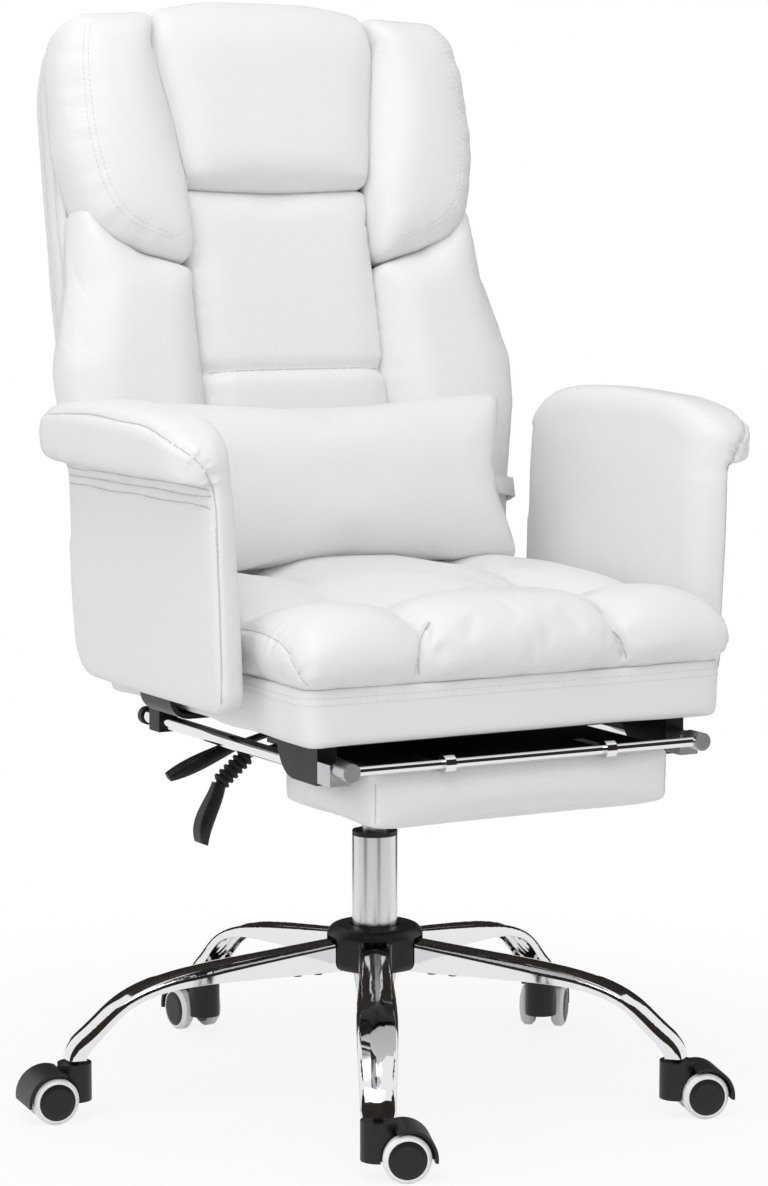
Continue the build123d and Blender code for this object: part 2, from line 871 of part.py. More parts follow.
def arm_pad():
    corner_x = arm_inner_x + arm_thick
    points = (
        (-arm_thick, face_gap),
        (face_gap, face_gap),
        (face_gap, -arm_pad_drop),
        (arm_pad_overhang, -arm_pad_drop),
        (arm_pad_overhang, arm_pad_rise / 2),
        (arm_pad_overhang * 0.4, arm_pad_rise - arm_pad_slope),
        (-arm_thick, arm_pad_rise),
    )
    corners = (1, 1, 2, 9, 12, 14, 18)
    angles = [radians(90 * step / edge_steps) for step in range(edge_steps + 1)]
    stations = [
        (arm_front_y + arm_pad_nose * (1 - cos(a)), arm_pad_draw * (1 - sin(a))) for a in angles
    ]
    stations += [
        (arm_rear_y - arm_pad_tail * (1 - sin(a)), arm_tail_draw * (1 - cos(a))) for a in angles
    ]
    faces = []
    for y, draw in stations:
        scale = 1 - draw
        plane = Plane(origin=(corner_x, y, arm_shelf_z), x_dir=(1, 0, 0), z_dir=(0, -1, 0))
        shape = [(x if x == -arm_thick else x * scale, z * scale) for x, z in points]
        faces.append(plane.location * outline(shape, [corner * scale for corner in corners]))
    return loft(faces, ruled=True)


def arm_bracket():
    outer_x = arm_inner_x - face_gap
    inner_x = outer_x - bracket_thick
    high = seat_bottom_z - face_gap
    low = high - bracket_thick
    top = low + bracket_height
    points = (
        (outer_x, top),
        (inner_x, top),
        (inner_x, high),
        (bracket_reach, high),
        (bracket_reach, low),
        (outer_x, low),
    )
    corners = (1, 1, bracket_bend, 1, 1, bracket_bend + bracket_thick)
    face = Plane.XZ.location * outline(points, corners)
    solid = Pos(0, bracket_front_y, 0) * extrude(face, bracket_width, dir=(0, 1, 0))
    for x, y in bracket_bolts():
        solid -= bar(bolt_room, (x, y, low - 1), (x, y, high + 1))
    return solid


def bracket_bolts():
    x = bracket_reach + 2 * bolt_head_r
    return [(x, bracket_front_y + bracket_width * share) for share in (0.25, 0.75)]


pad_right = arm_pad()
bracket = arm_bracket()
write("arm_panels", arm_panel, mirrored(arm_panel))
write("arm_pads", pad_right, mirrored(pad_right))
write("arm_brackets", bracket, mirrored(bracket))

# Footrest rails: fixed tubes under the seat, with rods that slide forward out of them
sleeve_rear_y = sleeve_front_y + sleeve_length
rail_front_y = sleeve_rear_y - sleeve_slant
rail_bore = slide_r + face_gap
slide_front_y = sleeve_front_y - block_gap


def along_y(radius, start, end):
    return bar(radius, (rail_x, start, rail_z), (rail_x, end, rail_z))


rail = along_y(rail_r, rail_front_y, rail_rear_y) - along_y(rail_bore, rail_front_y - 1, rail_rear_y + 1)
under = seat_bottom_z - face_gap
sleeve_side = Plane(origin=(rail_x, 0, 0), x_dir=(0, 1, 0), z_dir=(1, 0, 0))
sleeve_points = (
    (sleeve_front_y, sleeve_bottom_z),
    (sleeve_rear_y - sleeve_slant, sleeve_bottom_z),
    (sleeve_rear_y, under),
    (sleeve_front_y, under),
)
sleeve_block = sleeve_side.location * extrude(
    outline(sleeve_points, (least_corner, sleeve_round, 1, 1)), sleeve_half_width, both=True
)
sleeve_block -= along_y(slide_r + running_gap, sleeve_front_y - 1, sleeve_rear_y)
sleeve_block -= along_y(rail_r + seat_fit, rail_front_y - seat_fit, sleeve_rear_y + 1)
hanger_half = rail_r + hanger_wall
hanger_rear_y = hanger_y + hanger_length
hanger = block(
    rail_x - hanger_half, rail_x + hanger_half, hanger_y, hanger_rear_y, rail_z - hanger_half, under
)
hanger -= along_y(rail_r + seat_fit, hanger_y - 1, hanger_rear_y + 1)
end_cap = along_y(cap_r, rail_rear_y + seat_fit, rail_rear_y + cap_length)
end_cap += along_y(rail_bore - seat_fit, rail_rear_y - cap_length, rail_rear_y + cap_length)
slide_end_y = rail_rear_y - cap_length - face_gap
slide = along_y(slide_r, slide_front_y - block_length / 2, slide_end_y)
block_rear_y = slide_front_y
block_front_y = block_rear_y - block_length
slide_block = Pos(rail_x, (block_front_y + block_rear_y) / 2, rail_z) * Box(
    2 * block_half, block_length, 2 * block_half
)
slide_block -= along_y(slide_r + seat_fit, slide_front_y - block_length / 2 - seat_fit, block_rear_y + 1)
knuckle = bar(
    knuckle_r,
    (rail_x, block_front_y - face_gap, cross_rod_z),
    (rail_x, block_front_y - knuckle_length, cross_rod_z),
)
knuckle_hole = bar(
    cross_rod_r + seat_fit,
    (rail_x - knuckle_r - 1, cross_rod_y, cross_rod_z),
    (rail_x, cross_rod_y, cross_rod_z),
)
knuckle -= knuckle_hole
rod_half = rail_x - seat_fit
cross_rod = bar(cross_rod_r, (-rod_half, cross_rod_y, cross_rod_z), (rod_half, cross_rod_y, cross_rod_z))
write("footrest_rails", rail, mirrored(rail))
write("footrest_sleeves", sleeve_block, mirrored(sleeve_block), hanger, mirrored(hanger))
write("rail_end_caps", end_cap, mirrored(end_cap))
write("footrest_slides", slide, mirrored(slide))
write("footrest_blocks", slide_block, mirrored(slide_block), knuckle, mirrored(knuckle))
write("footrest_cross_rod", cross_rod)

# Footrest pad, hung from the cross rod
board_low_z = rest_top_z
board_high_z = board_low_z + rest_board_thick
rest_rear_y = rest_front_y + rest_depth
rest_board = Pos(0, 0, board_low_z + face_gap) * extrude(
    rounded_block(
        rest_half_width - rest_board_margin,
        rest_front_y + rest_board_margin,
        rest_rear_y - rest_board_margin,
        rest_corner,
    ),
    rest_board_thick - face_gap,
)
rest_pad = pad(
    (
        (-rest_half_width, rest_front_y),
        (rest_half_width, rest_front_y),
        (rest_half_width, rest_rear_y),
        (-rest_half_width, rest_rear_y),
    ),
    [rest_corner] * 4,
    rest_top_z - rest_height,
    rest_top_z,
    rest_edge,
    rest_edge / 2,
    rest_edge / 2,
)


def lug():
    out = cross_rod_r + lug_wall
    x0 = lug_x - lug_width / 2
    x1 = lug_x + lug_width / 2
    solid = bar(out, (x0, cross_rod_y, cross_rod_z), (x1, cross_rod_y, cross_rod_z))
    low = board_high_z + face_gap
    solid += block(x0, x1, cross_rod_y, cross_rod_y + lug_tail, low, low + lug_wall)
    return solid - bar(
        cross_rod_r + running_gap, (x0 - 1, cross_rod_y, cross_rod_z), (x1 + 1, cross_rod_y, cross_rod_z)
    )


lug_right = lug()
write("footrest_board", rest_board)
write("footrest_pad", rest_pad)
write("footrest_lugs", lug_right, mirrored(lug_right))

# Back: pads on a board, wrapped at the rear by a shell
lean = radians(back_slope)
back_plane = Plane(origin=(0, back_root_y, back_root_z), x_dir=(1, 0, 0), z_dir=(0, -cos(lean), sin(lean)))


def on_back(solid):
    return back_plane.location * solid


# Height up the slope and distance proud of the face, as a point across the seat
def back_point(proud, height):
    y = back_root_y + height * sin(lean) - proud * cos(lean)
    z = back_root_z + height * cos(lean) + proud * sin(lean)
    return (y, z)


def symmetric(right):
    return [*right, *[(-x, h) for x, h in reversed(right)]]


pad_rear = -pad_depth
head_shoulder = head_top - head_shoulder_drop
head_side = (
    (centre_half_width, head_low),
    (head_shoulder_half, head_shoulder),
    (head_top_half, head_top - head_arch),
    (head_top_half / 2, head_top),
)
head_corners = (back_corner, 60, 2 * back_corner, 120)
head_pad = pad(
    symmetric(head_side),
    (*head_corners, *reversed(head_corners)),
    pad_rear,
    head_proud,
    back_corner / 2,
    head_proud,
    head_proud,
    (seam_share, seam_share, 1, 1, 1, seam_share, seam_share, seam_share),
)
mid_high = head_low - pad_gap
mid_panel = pad(
    symmetric(((centre_half_width, mid_low), (centre_half_width, mid_high))),
    [back_corner / 2] * 4,
    pad_rear,
    panel_proud,
    2,
    panel_edge,
    panel_edge,
)
low_panel = pad(
    symmetric(((centre_half_width, back_low), (centre_half_width, mid_low - pad_gap))),
    [back_corner / 2] * 4,
    pad_rear,
    panel_proud,
    2,
    panel_edge,
    panel_edge,
)
inner_x = centre_half_width + pad_gap
wing_points = (
    (inner_x, wing_low),
    (inner_x + 43, wing_low + 12),
    (wing_half - 44, wing_low + 28),
    (wing_half - 17, wing_low + 56),
    (wing_half - 1, wing_low + 128),
    (wing_half - 3, head_top - 82),
    (wing_half - 13, head_top - 40),
    (wing_half - 35, head_top - 19),
    (head_top_half + pad_gap, head_top - 14),
    (head_shoulder_half + pad_gap, head_shoulder),
    (inner_x, head_low),
)
wing_corners = (10, 40, 40, 40, 60, 60, 20, 14, 4, 10, 30)
wing_shares = (1, 1, 1, 1, 1, 1, 1, 1, seam_share, seam_share, seam_share)
wing = pad(wing_points, wing_corners, pad_rear, wing_proud, back_corner, wing_edge, wing_proud, wing_shares)
bolster_points = (
    (inner_x, back_low),
    (bolster_half - 40, back_low),
    (bolster_half - 20, wing_low - 249),
    (bolster_half - 3, wing_low - 169),
    (bolster_half, wing_low - 114),
    (bolster_half - 20, wing_low - 34),
    (bolster_half - 43, wing_low + 44),
    (bolster_half - 66, wing_low + 22),
    (inner_x + 45, wing_low + 6),
    (inner_x, wing_low - 6),
)
bolster_corners = (8, 12, 60, 60, 60, 60, 8, 20, 40, 8)
bolster_shares = (seam_share, 1, 1, 1, 1, 1, seam_share, seam_share, seam_share, seam_share)
bolster = pad(
    bolster_points,
    bolster_corners,
    pad_rear,
    bolster_proud,
    back_corner / 2,
    bolster_edge,
    bolster_proud,
    bolster_shares,
)
write("head_pad", on_back(head_pad))
write("back_panels", on_back(mid_panel), on_back(low_panel))
write("back_wings", on_back(wing), mirrored(on_back(wing)))
write("back_bolsters", on_back(bolster), mirrored(on_back(bolster)))

shell_side = (
    (shell_half - 17, back_low),
    (shell_half - 5, 100),
    (shell_half, 220),
    (shell_half, 330),
    (shell_half - 4, 450),
    (shell_half - 8, head_top - 92),
    (shell_half - 22, head_top - 34),
    (shell_half - 52, head_top - 12),
)
shell_points = symmetric(shell_side)
shell_corners = (16, 80, 80, 80, 80, 80, 40, 40) * 2
board_front = pad_rear - face_gap
board_rear = board_front - back_board_thick
back_board_points = inset(shell_points, board_margin)
back_board = Pos(0, 0, board_rear) * extrude(
    outline(back_board_points, [12] * len(back_board_points)), back_board_thick
)
shell = pad(shell_points, shell_corners, -shell_depth, board_front, shell_round, 1, 1)
shell -= Pos(0, 0, board_rear - face_gap) * extrude(
    outline(inset(shell_points, board_margin - face_gap), [12] * len(shell_points)), shell_depth
)
bar_room = bar_width / 2 + face_gap * 2
bar_deep = board_rear - 2 * face_gap - bar_thick
for x in (-bar_x, bar_x):
    shell -= block(x - bar_room, x + bar_room, back_low - 2, bar_top + 2, bar_deep - 1, board_front)
write("back_board", on_back(back_board))
write("back_shell", on_back(shell))

# Recline hinge: bars from the back board down to pivots behind the seat
bar_line = board_rear - face_gap - bar_thick / 2
bar_path = (back_point(bar_line, bar_top), back_point(bar_line, bar_bottom), (hinge_y, hinge_z))
side_plane = Plane(origin=(bar_x - bar_width / 2, 0, 0), x_dir=(0, 1, 0), z_dir=(1, 0, 0))
back_bar = side_plane.location * extrude(strip(bar_path, bar_thick), bar_width)
back_bar += bar(
    hinge_knuckle_r, (bar_x - bar_width / 2, hinge_y, hinge_z), (bar_x + bar_width / 2, hinge_y, hinge_z)
)
back_bar -= bar(hinge_pin_r + running_gap, (0, hinge_y, hinge_z), (2 * bar_x, hinge_y, hinge_z))
write("back_brackets", back_bar, mirrored(back_bar))


def recline_hinge():
    ear_points = (
        (hinge_plate_front_y, under),
        (hinge_plate_front_y, under - hinge_drop),
        (hinge_y, under - hinge_drop),
        (hinge_y + hinge_ear_r, hinge_z),
        (hinge_y - hinge_ear_r, hinge_z),
        (hinge_y - hinge_ear_r, under),
    )
    ear = make_face(Polyline(*ear_points, close=True)) + Pos(hinge_y, hinge_z) * Circle(hinge_ear_r)
    ear -= Pos(hinge_y, hinge_z) * Circle(hinge_pin_r + seat_fit)
    inside = bar_width / 2 + 2 * face_gap
    plates = []
    for x in (bar_x - inside - hinge_ear, bar_x + inside):
        plane = Plane(origin=(x, 0, 0), x_dir=(0, 1, 0), z_dir=(1, 0, 0))
        plates.append(plane.location * extrude(ear, hinge_ear))
    plate_rear_y = hinge_y - 2 * hinge_ear_r
    base = block(bar_x - inside, bar_x + inside, hinge_plate_front_y, plate_rear_y, under - hinge_ear, under)
    return plates[0] + plates[1] + base


pin_reach = bar_width / 2 + 2 * face_gap + hinge_ear + 1
hinge_pin = bar(hinge_pin_r, (bar_x - pin_reach, hinge_y, hinge_z), (bar_x + pin_reach, hinge_y, hinge_z))
hinge_base = recline_hinge()
write("recline_hinges", hinge_base, mirrored(hinge_base))
write("pivot_pins", hinge_pin, mirrored(hinge_pin), gas_pin, tilt_pin)

bolts = [bolt(x, y, flange_z - face_gap, flange_thick) for x, y in mech_bolts]
for x, y in bracket_bolts():
    bolts.append(bolt(x, y, under - bracket_thick - face_gap, bracket_thick))
    bolts.append(bolt(-x, y, under - bracket_thick - face_gap, bracket_thick))
write("seat_bolts", *bolts)


# Lumbar pillow, against the bolsters, and the strap that holds it round the back
pillow_rear = bolster_proud + face_gap


def lumbar_pillow():
    low = pillow_low
    high = pillow_low + pillow_height
    half = pillow_half_width
    side = half - pillow_draw
    middle = (low + high) / 2
    right = ((half, low), (side, middle), (half, high))
    left = [(-x, h) for x, h in reversed(right)]
    corners = (pillow_long_bow, pillow_tip, pillow_side_bow, pillow_tip) * 2
    points = [(0, low + pillow_draw / 2), *right, (0, high - pillow_draw / 2), *left]
    faces = []
    for share, draw in pillow_levels:
        level = pillow_rear + share * pillow_thick
        faces.append(Pos(0, 0, level) * outline(inset(points, draw), corners))
    return loft(faces, ruled=True)


def pillow_strap():
    wrap = bolster_points[2][0] + strap_room
    tuck = pillow_half_width - pillow_draw
    bend_x = shell_points[1][0] - shell_round
    bend_f = shell_round - shell_depth
    out = shell_round + strap_room + strap_thick
    path = (
        (tuck, pillow_rear + pillow_thick * pillow_seam),
        (wrap - bolster_edge / 3, bolster_proud),
        (wrap, 0),
        (wrap, -pad_depth),
        (bend_x + out, bend_f),
        (bend_x + out * 0.75, bend_f - out * 0.75),
        (bend_x, bend_f - out),
    )
    face = strip((*path, *[(-x, f) for x, f in reversed(path)]), strap_thick)
    plane = Plane(origin=(0, strap_low, 0), x_dir=(1, 0, 0), z_dir=(0, -1, 0))
    return plane.location * extrude(face, -strap_height)


pillow = lumbar_pillow()
write("lumbar_pillow", on_back(pillow))
write("pillow_strap", on_back(pillow_strap() - pillow))
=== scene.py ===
import bpy
import json
import math
import time
import numpy as np
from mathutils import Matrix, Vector, kdtree


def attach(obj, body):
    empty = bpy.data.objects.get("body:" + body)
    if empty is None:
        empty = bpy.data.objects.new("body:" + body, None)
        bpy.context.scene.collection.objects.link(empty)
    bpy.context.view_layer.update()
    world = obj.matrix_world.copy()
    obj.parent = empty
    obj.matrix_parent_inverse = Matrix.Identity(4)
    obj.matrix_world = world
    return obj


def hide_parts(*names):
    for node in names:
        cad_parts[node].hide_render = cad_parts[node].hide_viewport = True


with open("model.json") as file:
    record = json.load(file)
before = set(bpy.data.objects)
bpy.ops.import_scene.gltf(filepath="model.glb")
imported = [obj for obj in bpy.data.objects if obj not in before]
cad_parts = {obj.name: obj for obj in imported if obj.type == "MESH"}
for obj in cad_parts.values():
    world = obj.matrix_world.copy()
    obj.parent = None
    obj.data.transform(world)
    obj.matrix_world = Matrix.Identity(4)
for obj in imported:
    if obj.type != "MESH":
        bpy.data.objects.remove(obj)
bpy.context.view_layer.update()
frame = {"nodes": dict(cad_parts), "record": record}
nodes = frame["nodes"]
print("frame loaded,", len(nodes), "nodes")


# selection and edit mode, as by hand
def pick(*objects):
    bpy.ops.object.select_all(action="DESELECT")
    for obj in objects:
        obj.select_set(True)
    bpy.context.view_layer.objects.active = objects[0]


def inEditMode(obj, work):
    pick(obj)
    bpy.ops.object.mode_set(mode="EDIT")
    bpy.ops.mesh.select_all(action="SELECT")
    work()
    bpy.ops.object.mode_set(mode="OBJECT")


def applyModifier(obj, kind, **settings):
    modifier = obj.modifiers.new(kind.lower(), kind)
    for name, value in settings.items():
        setattr(modifier, name, value)
    pick(obj)
    bpy.ops.object.modifier_apply(modifier=modifier.name)


def smooth(obj, angle=None):
    pick(obj)
    if angle is None:
        bpy.ops.object.shade_smooth()
    else:
        bpy.ops.object.shade_smooth_by_angle(angle=math.radians(angle))


# a mesh's points and normals, as rows of x, y and z
def points(obj):
    flat = np.zeros(len(obj.data.vertices) * 3)
    obj.data.vertices.foreach_get("co", flat)
    return flat.reshape(-1, 3)


def normals(obj):
    flat = np.zeros(len(obj.data.vertices) * 3)
    obj.data.vertex_normals.foreach_get("vector", flat)
    return flat.reshape(-1, 3)


def setPoints(obj, places):
    obj.data.vertices.foreach_set("co", places.ravel())
    obj.data.update()


# each point moves out along its normal, by one amount or by its own
def push(obj, amount):
    setPoints(obj, points(obj) + normals(obj) * np.reshape(amount, (-1, 1)))


# finishes: shader sums are written as sums
def addNode(tree, kind, settings=None, sockets=None, out=0):
    node = tree.nodes.new(kind)
    for name, value in (settings or {}).items():
        setattr(node, name, value)
    for name, value in (sockets or {}).items():
        if isinstance(value, Wire):
            tree.links.new(value.socket, node.inputs[name])
        else:
            node.inputs[name].default_value = value
    return Wire(tree, node.outputs[out])


class Wire:
    def __init__(self, tree, socket):
        self.tree = tree
        self.socket = socket

    def sum(self, operation, other):
        return addNode(self.tree, "ShaderNodeMath", {"operation": operation}, {0: self, 1: other})

    def __add__(self, other):
        return self.sum("ADD", other)

    __radd__ = __add__

    def __mul__(self, other):
        return self.sum("MULTIPLY", other)

    __rmul__ = __mul__


class Finish:
    def __init__(self, name, **fixed):
        self.material = bpy.data.materials.new(name)
        self.material.use_nodes = True
        self.tree = self.material.node_tree
        self.shader = self.tree.nodes["Principled BSDF"]
        for socket, value in fixed.items():
            self.shader.inputs[socket.replace("_", " ")].default_value = value
        self.place = addNode(self.tree, "ShaderNodeTexCoord", out="Object")

    def feed(self, socket, wire):
        self.tree.links.new(wire.socket, self.shader.inputs[socket])

    def stretched(self, scale):
        return addNode(self.tree, "ShaderNodeMapping", None, {"Vector": self.place, "Scale": scale})

    def noise(self, scale, detail, rough=0.5, place=None):
        sockets = {"Vector": place or self.place, "Scale": scale, "Detail": detail, "Roughness": rough}
        return addNode(self.tree, "ShaderNodeTexNoise", None, sockets)

    def cells(self, scale):
        sockets = {"Vector": self.place, "Scale": scale}
        return addNode(self.tree, "ShaderNodeTexVoronoi", None, sockets, "Distance")

    def tint(self, factor, low, high):
        sockets = {0: factor, 6: (*low, 1), 7: (*high, 1)}
        return addNode(self.tree, "ShaderNodeMix", {"data_type": "RGBA"}, sockets, 2)

    def bump(self, height, strength, distance):
        sockets = {"Height": height, "Strength": strength, "Distance": distance}
        self.feed("Normal", addNode(self.tree, "ShaderNodeBump", None, sockets))


leatherLook = {
    "pale": (0.86, 0.86, 0.865), "shade": (0.82, 0.82, 0.825), "specular": 0.42,
    "broad": 9, "creases": 55, "grain": 780, "pores": 1500, "broadTint": 0.7, "creaseTint": 0.3,
    "rough": 0.36, "creaseRough": 0.12, "grainRough": 0.1,
    "relief": 0.22, "depth": 0.0009, "grainHeight": 0.55, "poreHeight": 0.25, "creaseHeight": 0.6,
}


# the last argument scales the leather's colour; below one it is painted shade, for the darker piping and
# seam lines
def leatherFinish(name, paintedShadeFactor):
    look = leatherLook
    finish = Finish(name, Specular_IOR_Level=look["specular"])
    broad = finish.noise(look["broad"], detail=4)
    creases = finish.noise(look["creases"], detail=5, rough=0.62)
    grain = finish.cells(look["grain"])
    pores = finish.noise(look["pores"], detail=2)
    shade, pale = ([paintedShadeFactor * level for level in look[end]] for end in ("shade", "pale"))
    tone = broad * look["broadTint"] + creases * look["creaseTint"]
    finish.feed("Base Color", finish.tint(tone, shade, pale))
    finish.feed("Roughness", look["rough"] + look["creaseRough"] * creases + look["grainRough"] * grain)
    height = grain * look["grainHeight"] + pores * look["poreHeight"] + creases * look["creaseHeight"]
    finish.bump(height, look["relief"], look["depth"])
    return finish.material


chromeLook = {
    "colour": (0.8, 0.8, 0.81, 1), "rough": 0.035, "smears": 30, "smearRough": 0.05,
    "waves": 14, "relief": 0.03, "depth": 0.001,
}


def chromeFinish():
    look = chromeLook
    finish = Finish("polished_chrome", Metallic=1.0, Base_Color=look["colour"])
    smears = finish.noise(look["smears"], detail=4)
    finish.feed("Roughness", look["rough"] + look["smearRough"] * smears)
    finish.bump(finish.noise(look["waves"], detail=2), look["relief"], look["depth"])
    return finish.material


columnLook = {
    "dark": (0.66, 0.66, 0.67), "light": (0.78, 0.78, 0.79), "rough": 0.2, "ringRough": 0.08,
    "turned": (1, 1, 60), "rings": 40, "relief": 0.05, "depth": 0.0004,
}


def columnFinish():
    look = columnLook
    finish = Finish("satin_column", Metallic=1.0)
    rings = finish.noise(look["rings"], detail=2, place=finish.stretched(look["turned"]))
    finish.feed("Base Color", finish.tint(rings, look["dark"], look["light"]))
    finish.feed("Roughness", look["rough"] + look["ringRough"] * rings)
    finish.bump(rings, look["relief"], look["depth"])
    return finish.material


steelLook = {
    "dark": (0.5, 0.5, 0.51), "light": (0.66, 0.66, 0.67), "rough": 0.24, "scuffs": 60, "scuffRough": 0.16,
}


def steelFinish():
    look = steelLook
    finish = Finish("plain_steel", Metallic=1.0)
    scuffs = finish.noise(look["scuffs"], detail=5)
    finish.feed("Base Color", finish.tint(scuffs, look["dark"], look["light"]))
    finish.feed("Roughness", look["rough"] + look["scuffRough"] * scuffs)
    return finish.material


mouldedLook = {"specular": 0.38, "broad": 35, "broadRough": 0.12, "relief": 0.12, "depth": 0.0004}
mouldedKinds = {
    "black_plastic": {
        "dark": (0.008, 0.008, 0.009), "light": (0.016, 0.016, 0.017), "rough": 0.36, "spark": 900,
    },
    "black_rubber": {
        "dark": (0.014, 0.014, 0.014), "light": (0.024, 0.023, 0.022), "rough": 0.55, "spark": 600,
    },
    "black_metal": {
        "dark": (0.01, 0.01, 0.011), "light": (0.02, 0.02, 0.021), "rough": 0.3, "spark": 500,
    },
    "tyre_rubber": {
        "dark": (0.88, 0.88, 0.88), "light": (0.93, 0.93, 0.925), "rough": 0.42, "spark": 700,
    },
    "white_thread": {
        "dark": (0.74, 0.74, 0.74), "light": (0.84, 0.84, 0.83), "rough": 0.6, "spark": 2500,
    },
}


def mouldedFinish(name):
    kind = mouldedKinds[name]
    finish = Finish(name, Specular_IOR_Level=mouldedLook["specular"])
    broad = finish.noise(mouldedLook["broad"], detail=4)
    spark = finish.cells(kind["spark"])
    finish.feed("Base Color", finish.tint(broad, kind["dark"], kind["light"]))
    finish.feed("Roughness", kind["rough"] + mouldedLook["broadRough"] * broad)
    finish.bump(spark, mouldedLook["relief"], mouldedLook["depth"])
    return finish.material


boardLook = {
    "dark": (0.012, 0.012, 0.013), "light": (0.03, 0.029, 0.028), "rough": 0.6, "fibreRough": 0.2,
    "drawn": (6, 60, 60), "fibre": 8, "relief": 0.2, "depth": 0.0006,
}


def boardFinish():
    look = boardLook
    finish = Finish("black_board")
    fibre = finish.noise(look["fibre"], detail=4, place=finish.stretched(look["drawn"]))
    finish.feed("Base Color", finish.tint(fibre, look["dark"], look["light"]))
    finish.feed("Roughness", look["rough"] + look["fibreRough"] * fibre)
    finish.bump(fibre, look["relief"], look["depth"])
    return finish.material


leather = leatherFinish("white_leather", 1.0)
# the piping is the white leather darkened a little, painted shade that makes the piped edges read as lines
pipingShadeLeather = leatherFinish("piping_leather", 0.86)
# the seam cords are darker still, a painted shadow line in the valleys of seams, tucks and creases
seamShadeLeather = leatherFinish("seam_leather", 0.7)
chrome = chromeFinish()
column = columnFinish()
steel = steelFinish()
moulded = {name: mouldedFinish(name) for name in mouldedKinds}
board = boardFinish()
slotFinish = {"white_leather": leather, "chrome": chrome, "steel": steel, "plywood": board, **moulded}
ownFinish = {"column_tube": column, "footrest_blocks": steel, "footrest_lugs": chrome}
for entry in frame["record"]["subparts"]:
    node = nodes[entry["node"]]
    node.data.materials.clear()
    node.data.materials.append(ownFinish.get(entry["node"], slotFinish[entry["material_slot"]]))
print("finishes made")

clock = time.time()


def told(stage):
    print(stage, round(time.time() - clock, 1), "s")


# soft pieces start as a copy of the solid that they stand for
def copyOf(name, *solids):
    copies = []
    for solid in solids:
        obj = bpy.data.objects.new(name, nodes[solid].data.copy())
        bpy.context.scene.collection.objects.link(obj)
        copies.append(obj)
    pick(*copies)
    if len(copies) > 1:
        bpy.ops.object.join()
    piece = bpy.context.view_layer.objects.active
    inEditMode(piece, lambda: bpy.ops.mesh.remove_doubles(threshold=1e-5))
    return piece


# only the half that faces the given way is kept
def keepSide(piece, way):
    inEditMode(piece, lambda: bpy.ops.mesh.bisect(plane_co=(0, 0, 0), plane_no=way, clear_inner=True))


def skin(piece, voxel, rounds):
    applyModifier(piece, "REMESH", mode="VOXEL", voxel_size=voxel)
    applyModifier(piece, "SMOOTH", factor=0.5, iterations=rounds)


def finer(piece):
    applyModifier(piece, "SUBSURF", levels=1, render_levels=1)
    smooth(piece)


def mark(piece, name, chosen):
    group = piece.vertex_groups.new(name=name)
    group.add([int(i) for i in np.nonzero(chosen)[0]], 1.0, "REPLACE")


def relax(piece, chosen, rounds):
    mark(piece, "relaxed", chosen(points(piece)))
    applyModifier(piece, "SMOOTH", factor=0.5, iterations=rounds, vertex_group="relaxed")
    piece.vertex_groups.clear()


stuffing = {"frames": 14, "quality": 4, "mass": 0.25, "stiff": 12, "shear": 6, "bending": 0.6}


# pressure from inside, with the sewn edges held and no point moved past the cap
def stuff(piece, pressure, cap, held, slack=0.0):
    before = points(piece)
    mark(piece, "sewn", held(before))
    modifier = piece.modifiers.new("stuffing", "CLOTH")
    cloth = modifier.settings
    cloth.quality = stuffing["quality"]
    cloth.mass = stuffing["mass"]
    cloth.tension_stiffness = stuffing["stiff"]
    cloth.compression_stiffness = stuffing["stiff"]
    cloth.shear_stiffness = stuffing["shear"]
    cloth.bending_stiffness = stuffing["bending"]
    cloth.shrink_min = -slack
    cloth.use_pressure = True
    cloth.uniform_pressure_force = pressure
    cloth.vertex_group_mass = "sewn"
    cloth.effector_weights.gravity = 0
    modifier.point_cache.frame_start = 1
    modifier.point_cache.frame_end = stuffing["frames"]
    scene = bpy.context.scene
    for step in range(1, stuffing["frames"] + 1):
        scene.frame_set(step)
    pick(piece)
    bpy.ops.object.modifier_apply(modifier=modifier.name)
    scene.frame_set(1)
    move = points(piece) - before
    length = np.maximum(np.linalg.norm(move, axis=1), 1e-9)
    setPoints(piece, before + move * np.minimum(1, cap / length)[:, None])
    piece.vertex_groups.clear()
    told(f"{piece.name}: {len(before)} points, largest move {length.max() * 1000:.1f} mm,")


laying = {"passes": 3, "averages": 8, "grooveStep": 0.004, "weltStep": 0.006}


# a seam's corner points made a line of even steps
def evenly(seam, step):
    seam = np.array(seam, float)
    runs = np.concatenate([[0], np.cumsum(np.linalg.norm(np.diff(seam, axis=0), axis=1))])
    marks = np.linspace(0, runs[-1], max(4, int(runs[-1] / step) + 1))
    return np.stack([np.interp(marks, runs, seam[:, k]) for k in range(3)], axis=1)


def onSurface(piece, line):
    found = [piece.closest_point_on_mesh(Vector(spot)) for spot in line]
    return [(place, normal) for hit, place, normal, face in found]


# the line is laid on a finished piece and evened there, for grooves, welts and stitches
def lay(piece, seam, step):
    line = evenly(seam, step)
    for i in range(laying["passes"]):
        line = np.array([place for place, normal in onSurface(piece, line)])
        for k in range(laying["averages"]):
            line[1:-1] = line[1:-1] / 2 + (line[:-2] + line[2:]) / 4
    return onSurface(piece, line)


# distance of each point from a seam, and how far along the seam it is nearest
def fromSeam(piece, seam):
    step = laying["grooveStep"]
    line = [place for place, normal in lay(piece, seam, step)]
    near = kdtree.KDTree(len(line))
    for i, spot in enumerate(line):
        near.insert(spot, i)
    near.balance()
    found = [near.find(place) for place in points(piece)]
    gap = np.array([away for spot, i, away in found])
    along = np.array([i * step for spot, i, away in found])
    return gap, along


def groove(piece, seam, width, depth):
    gap, along = fromSeam(piece, seam)
    push(piece, -depth * np.exp(-((gap / width) ** 2)))


# each wave's pitch and share
puckerWaves = ((1, 0.6), (1.7, 0.3), (0.6, 0.4))
phases = (0, 6.3)  # a wave starts anywhere in its turn


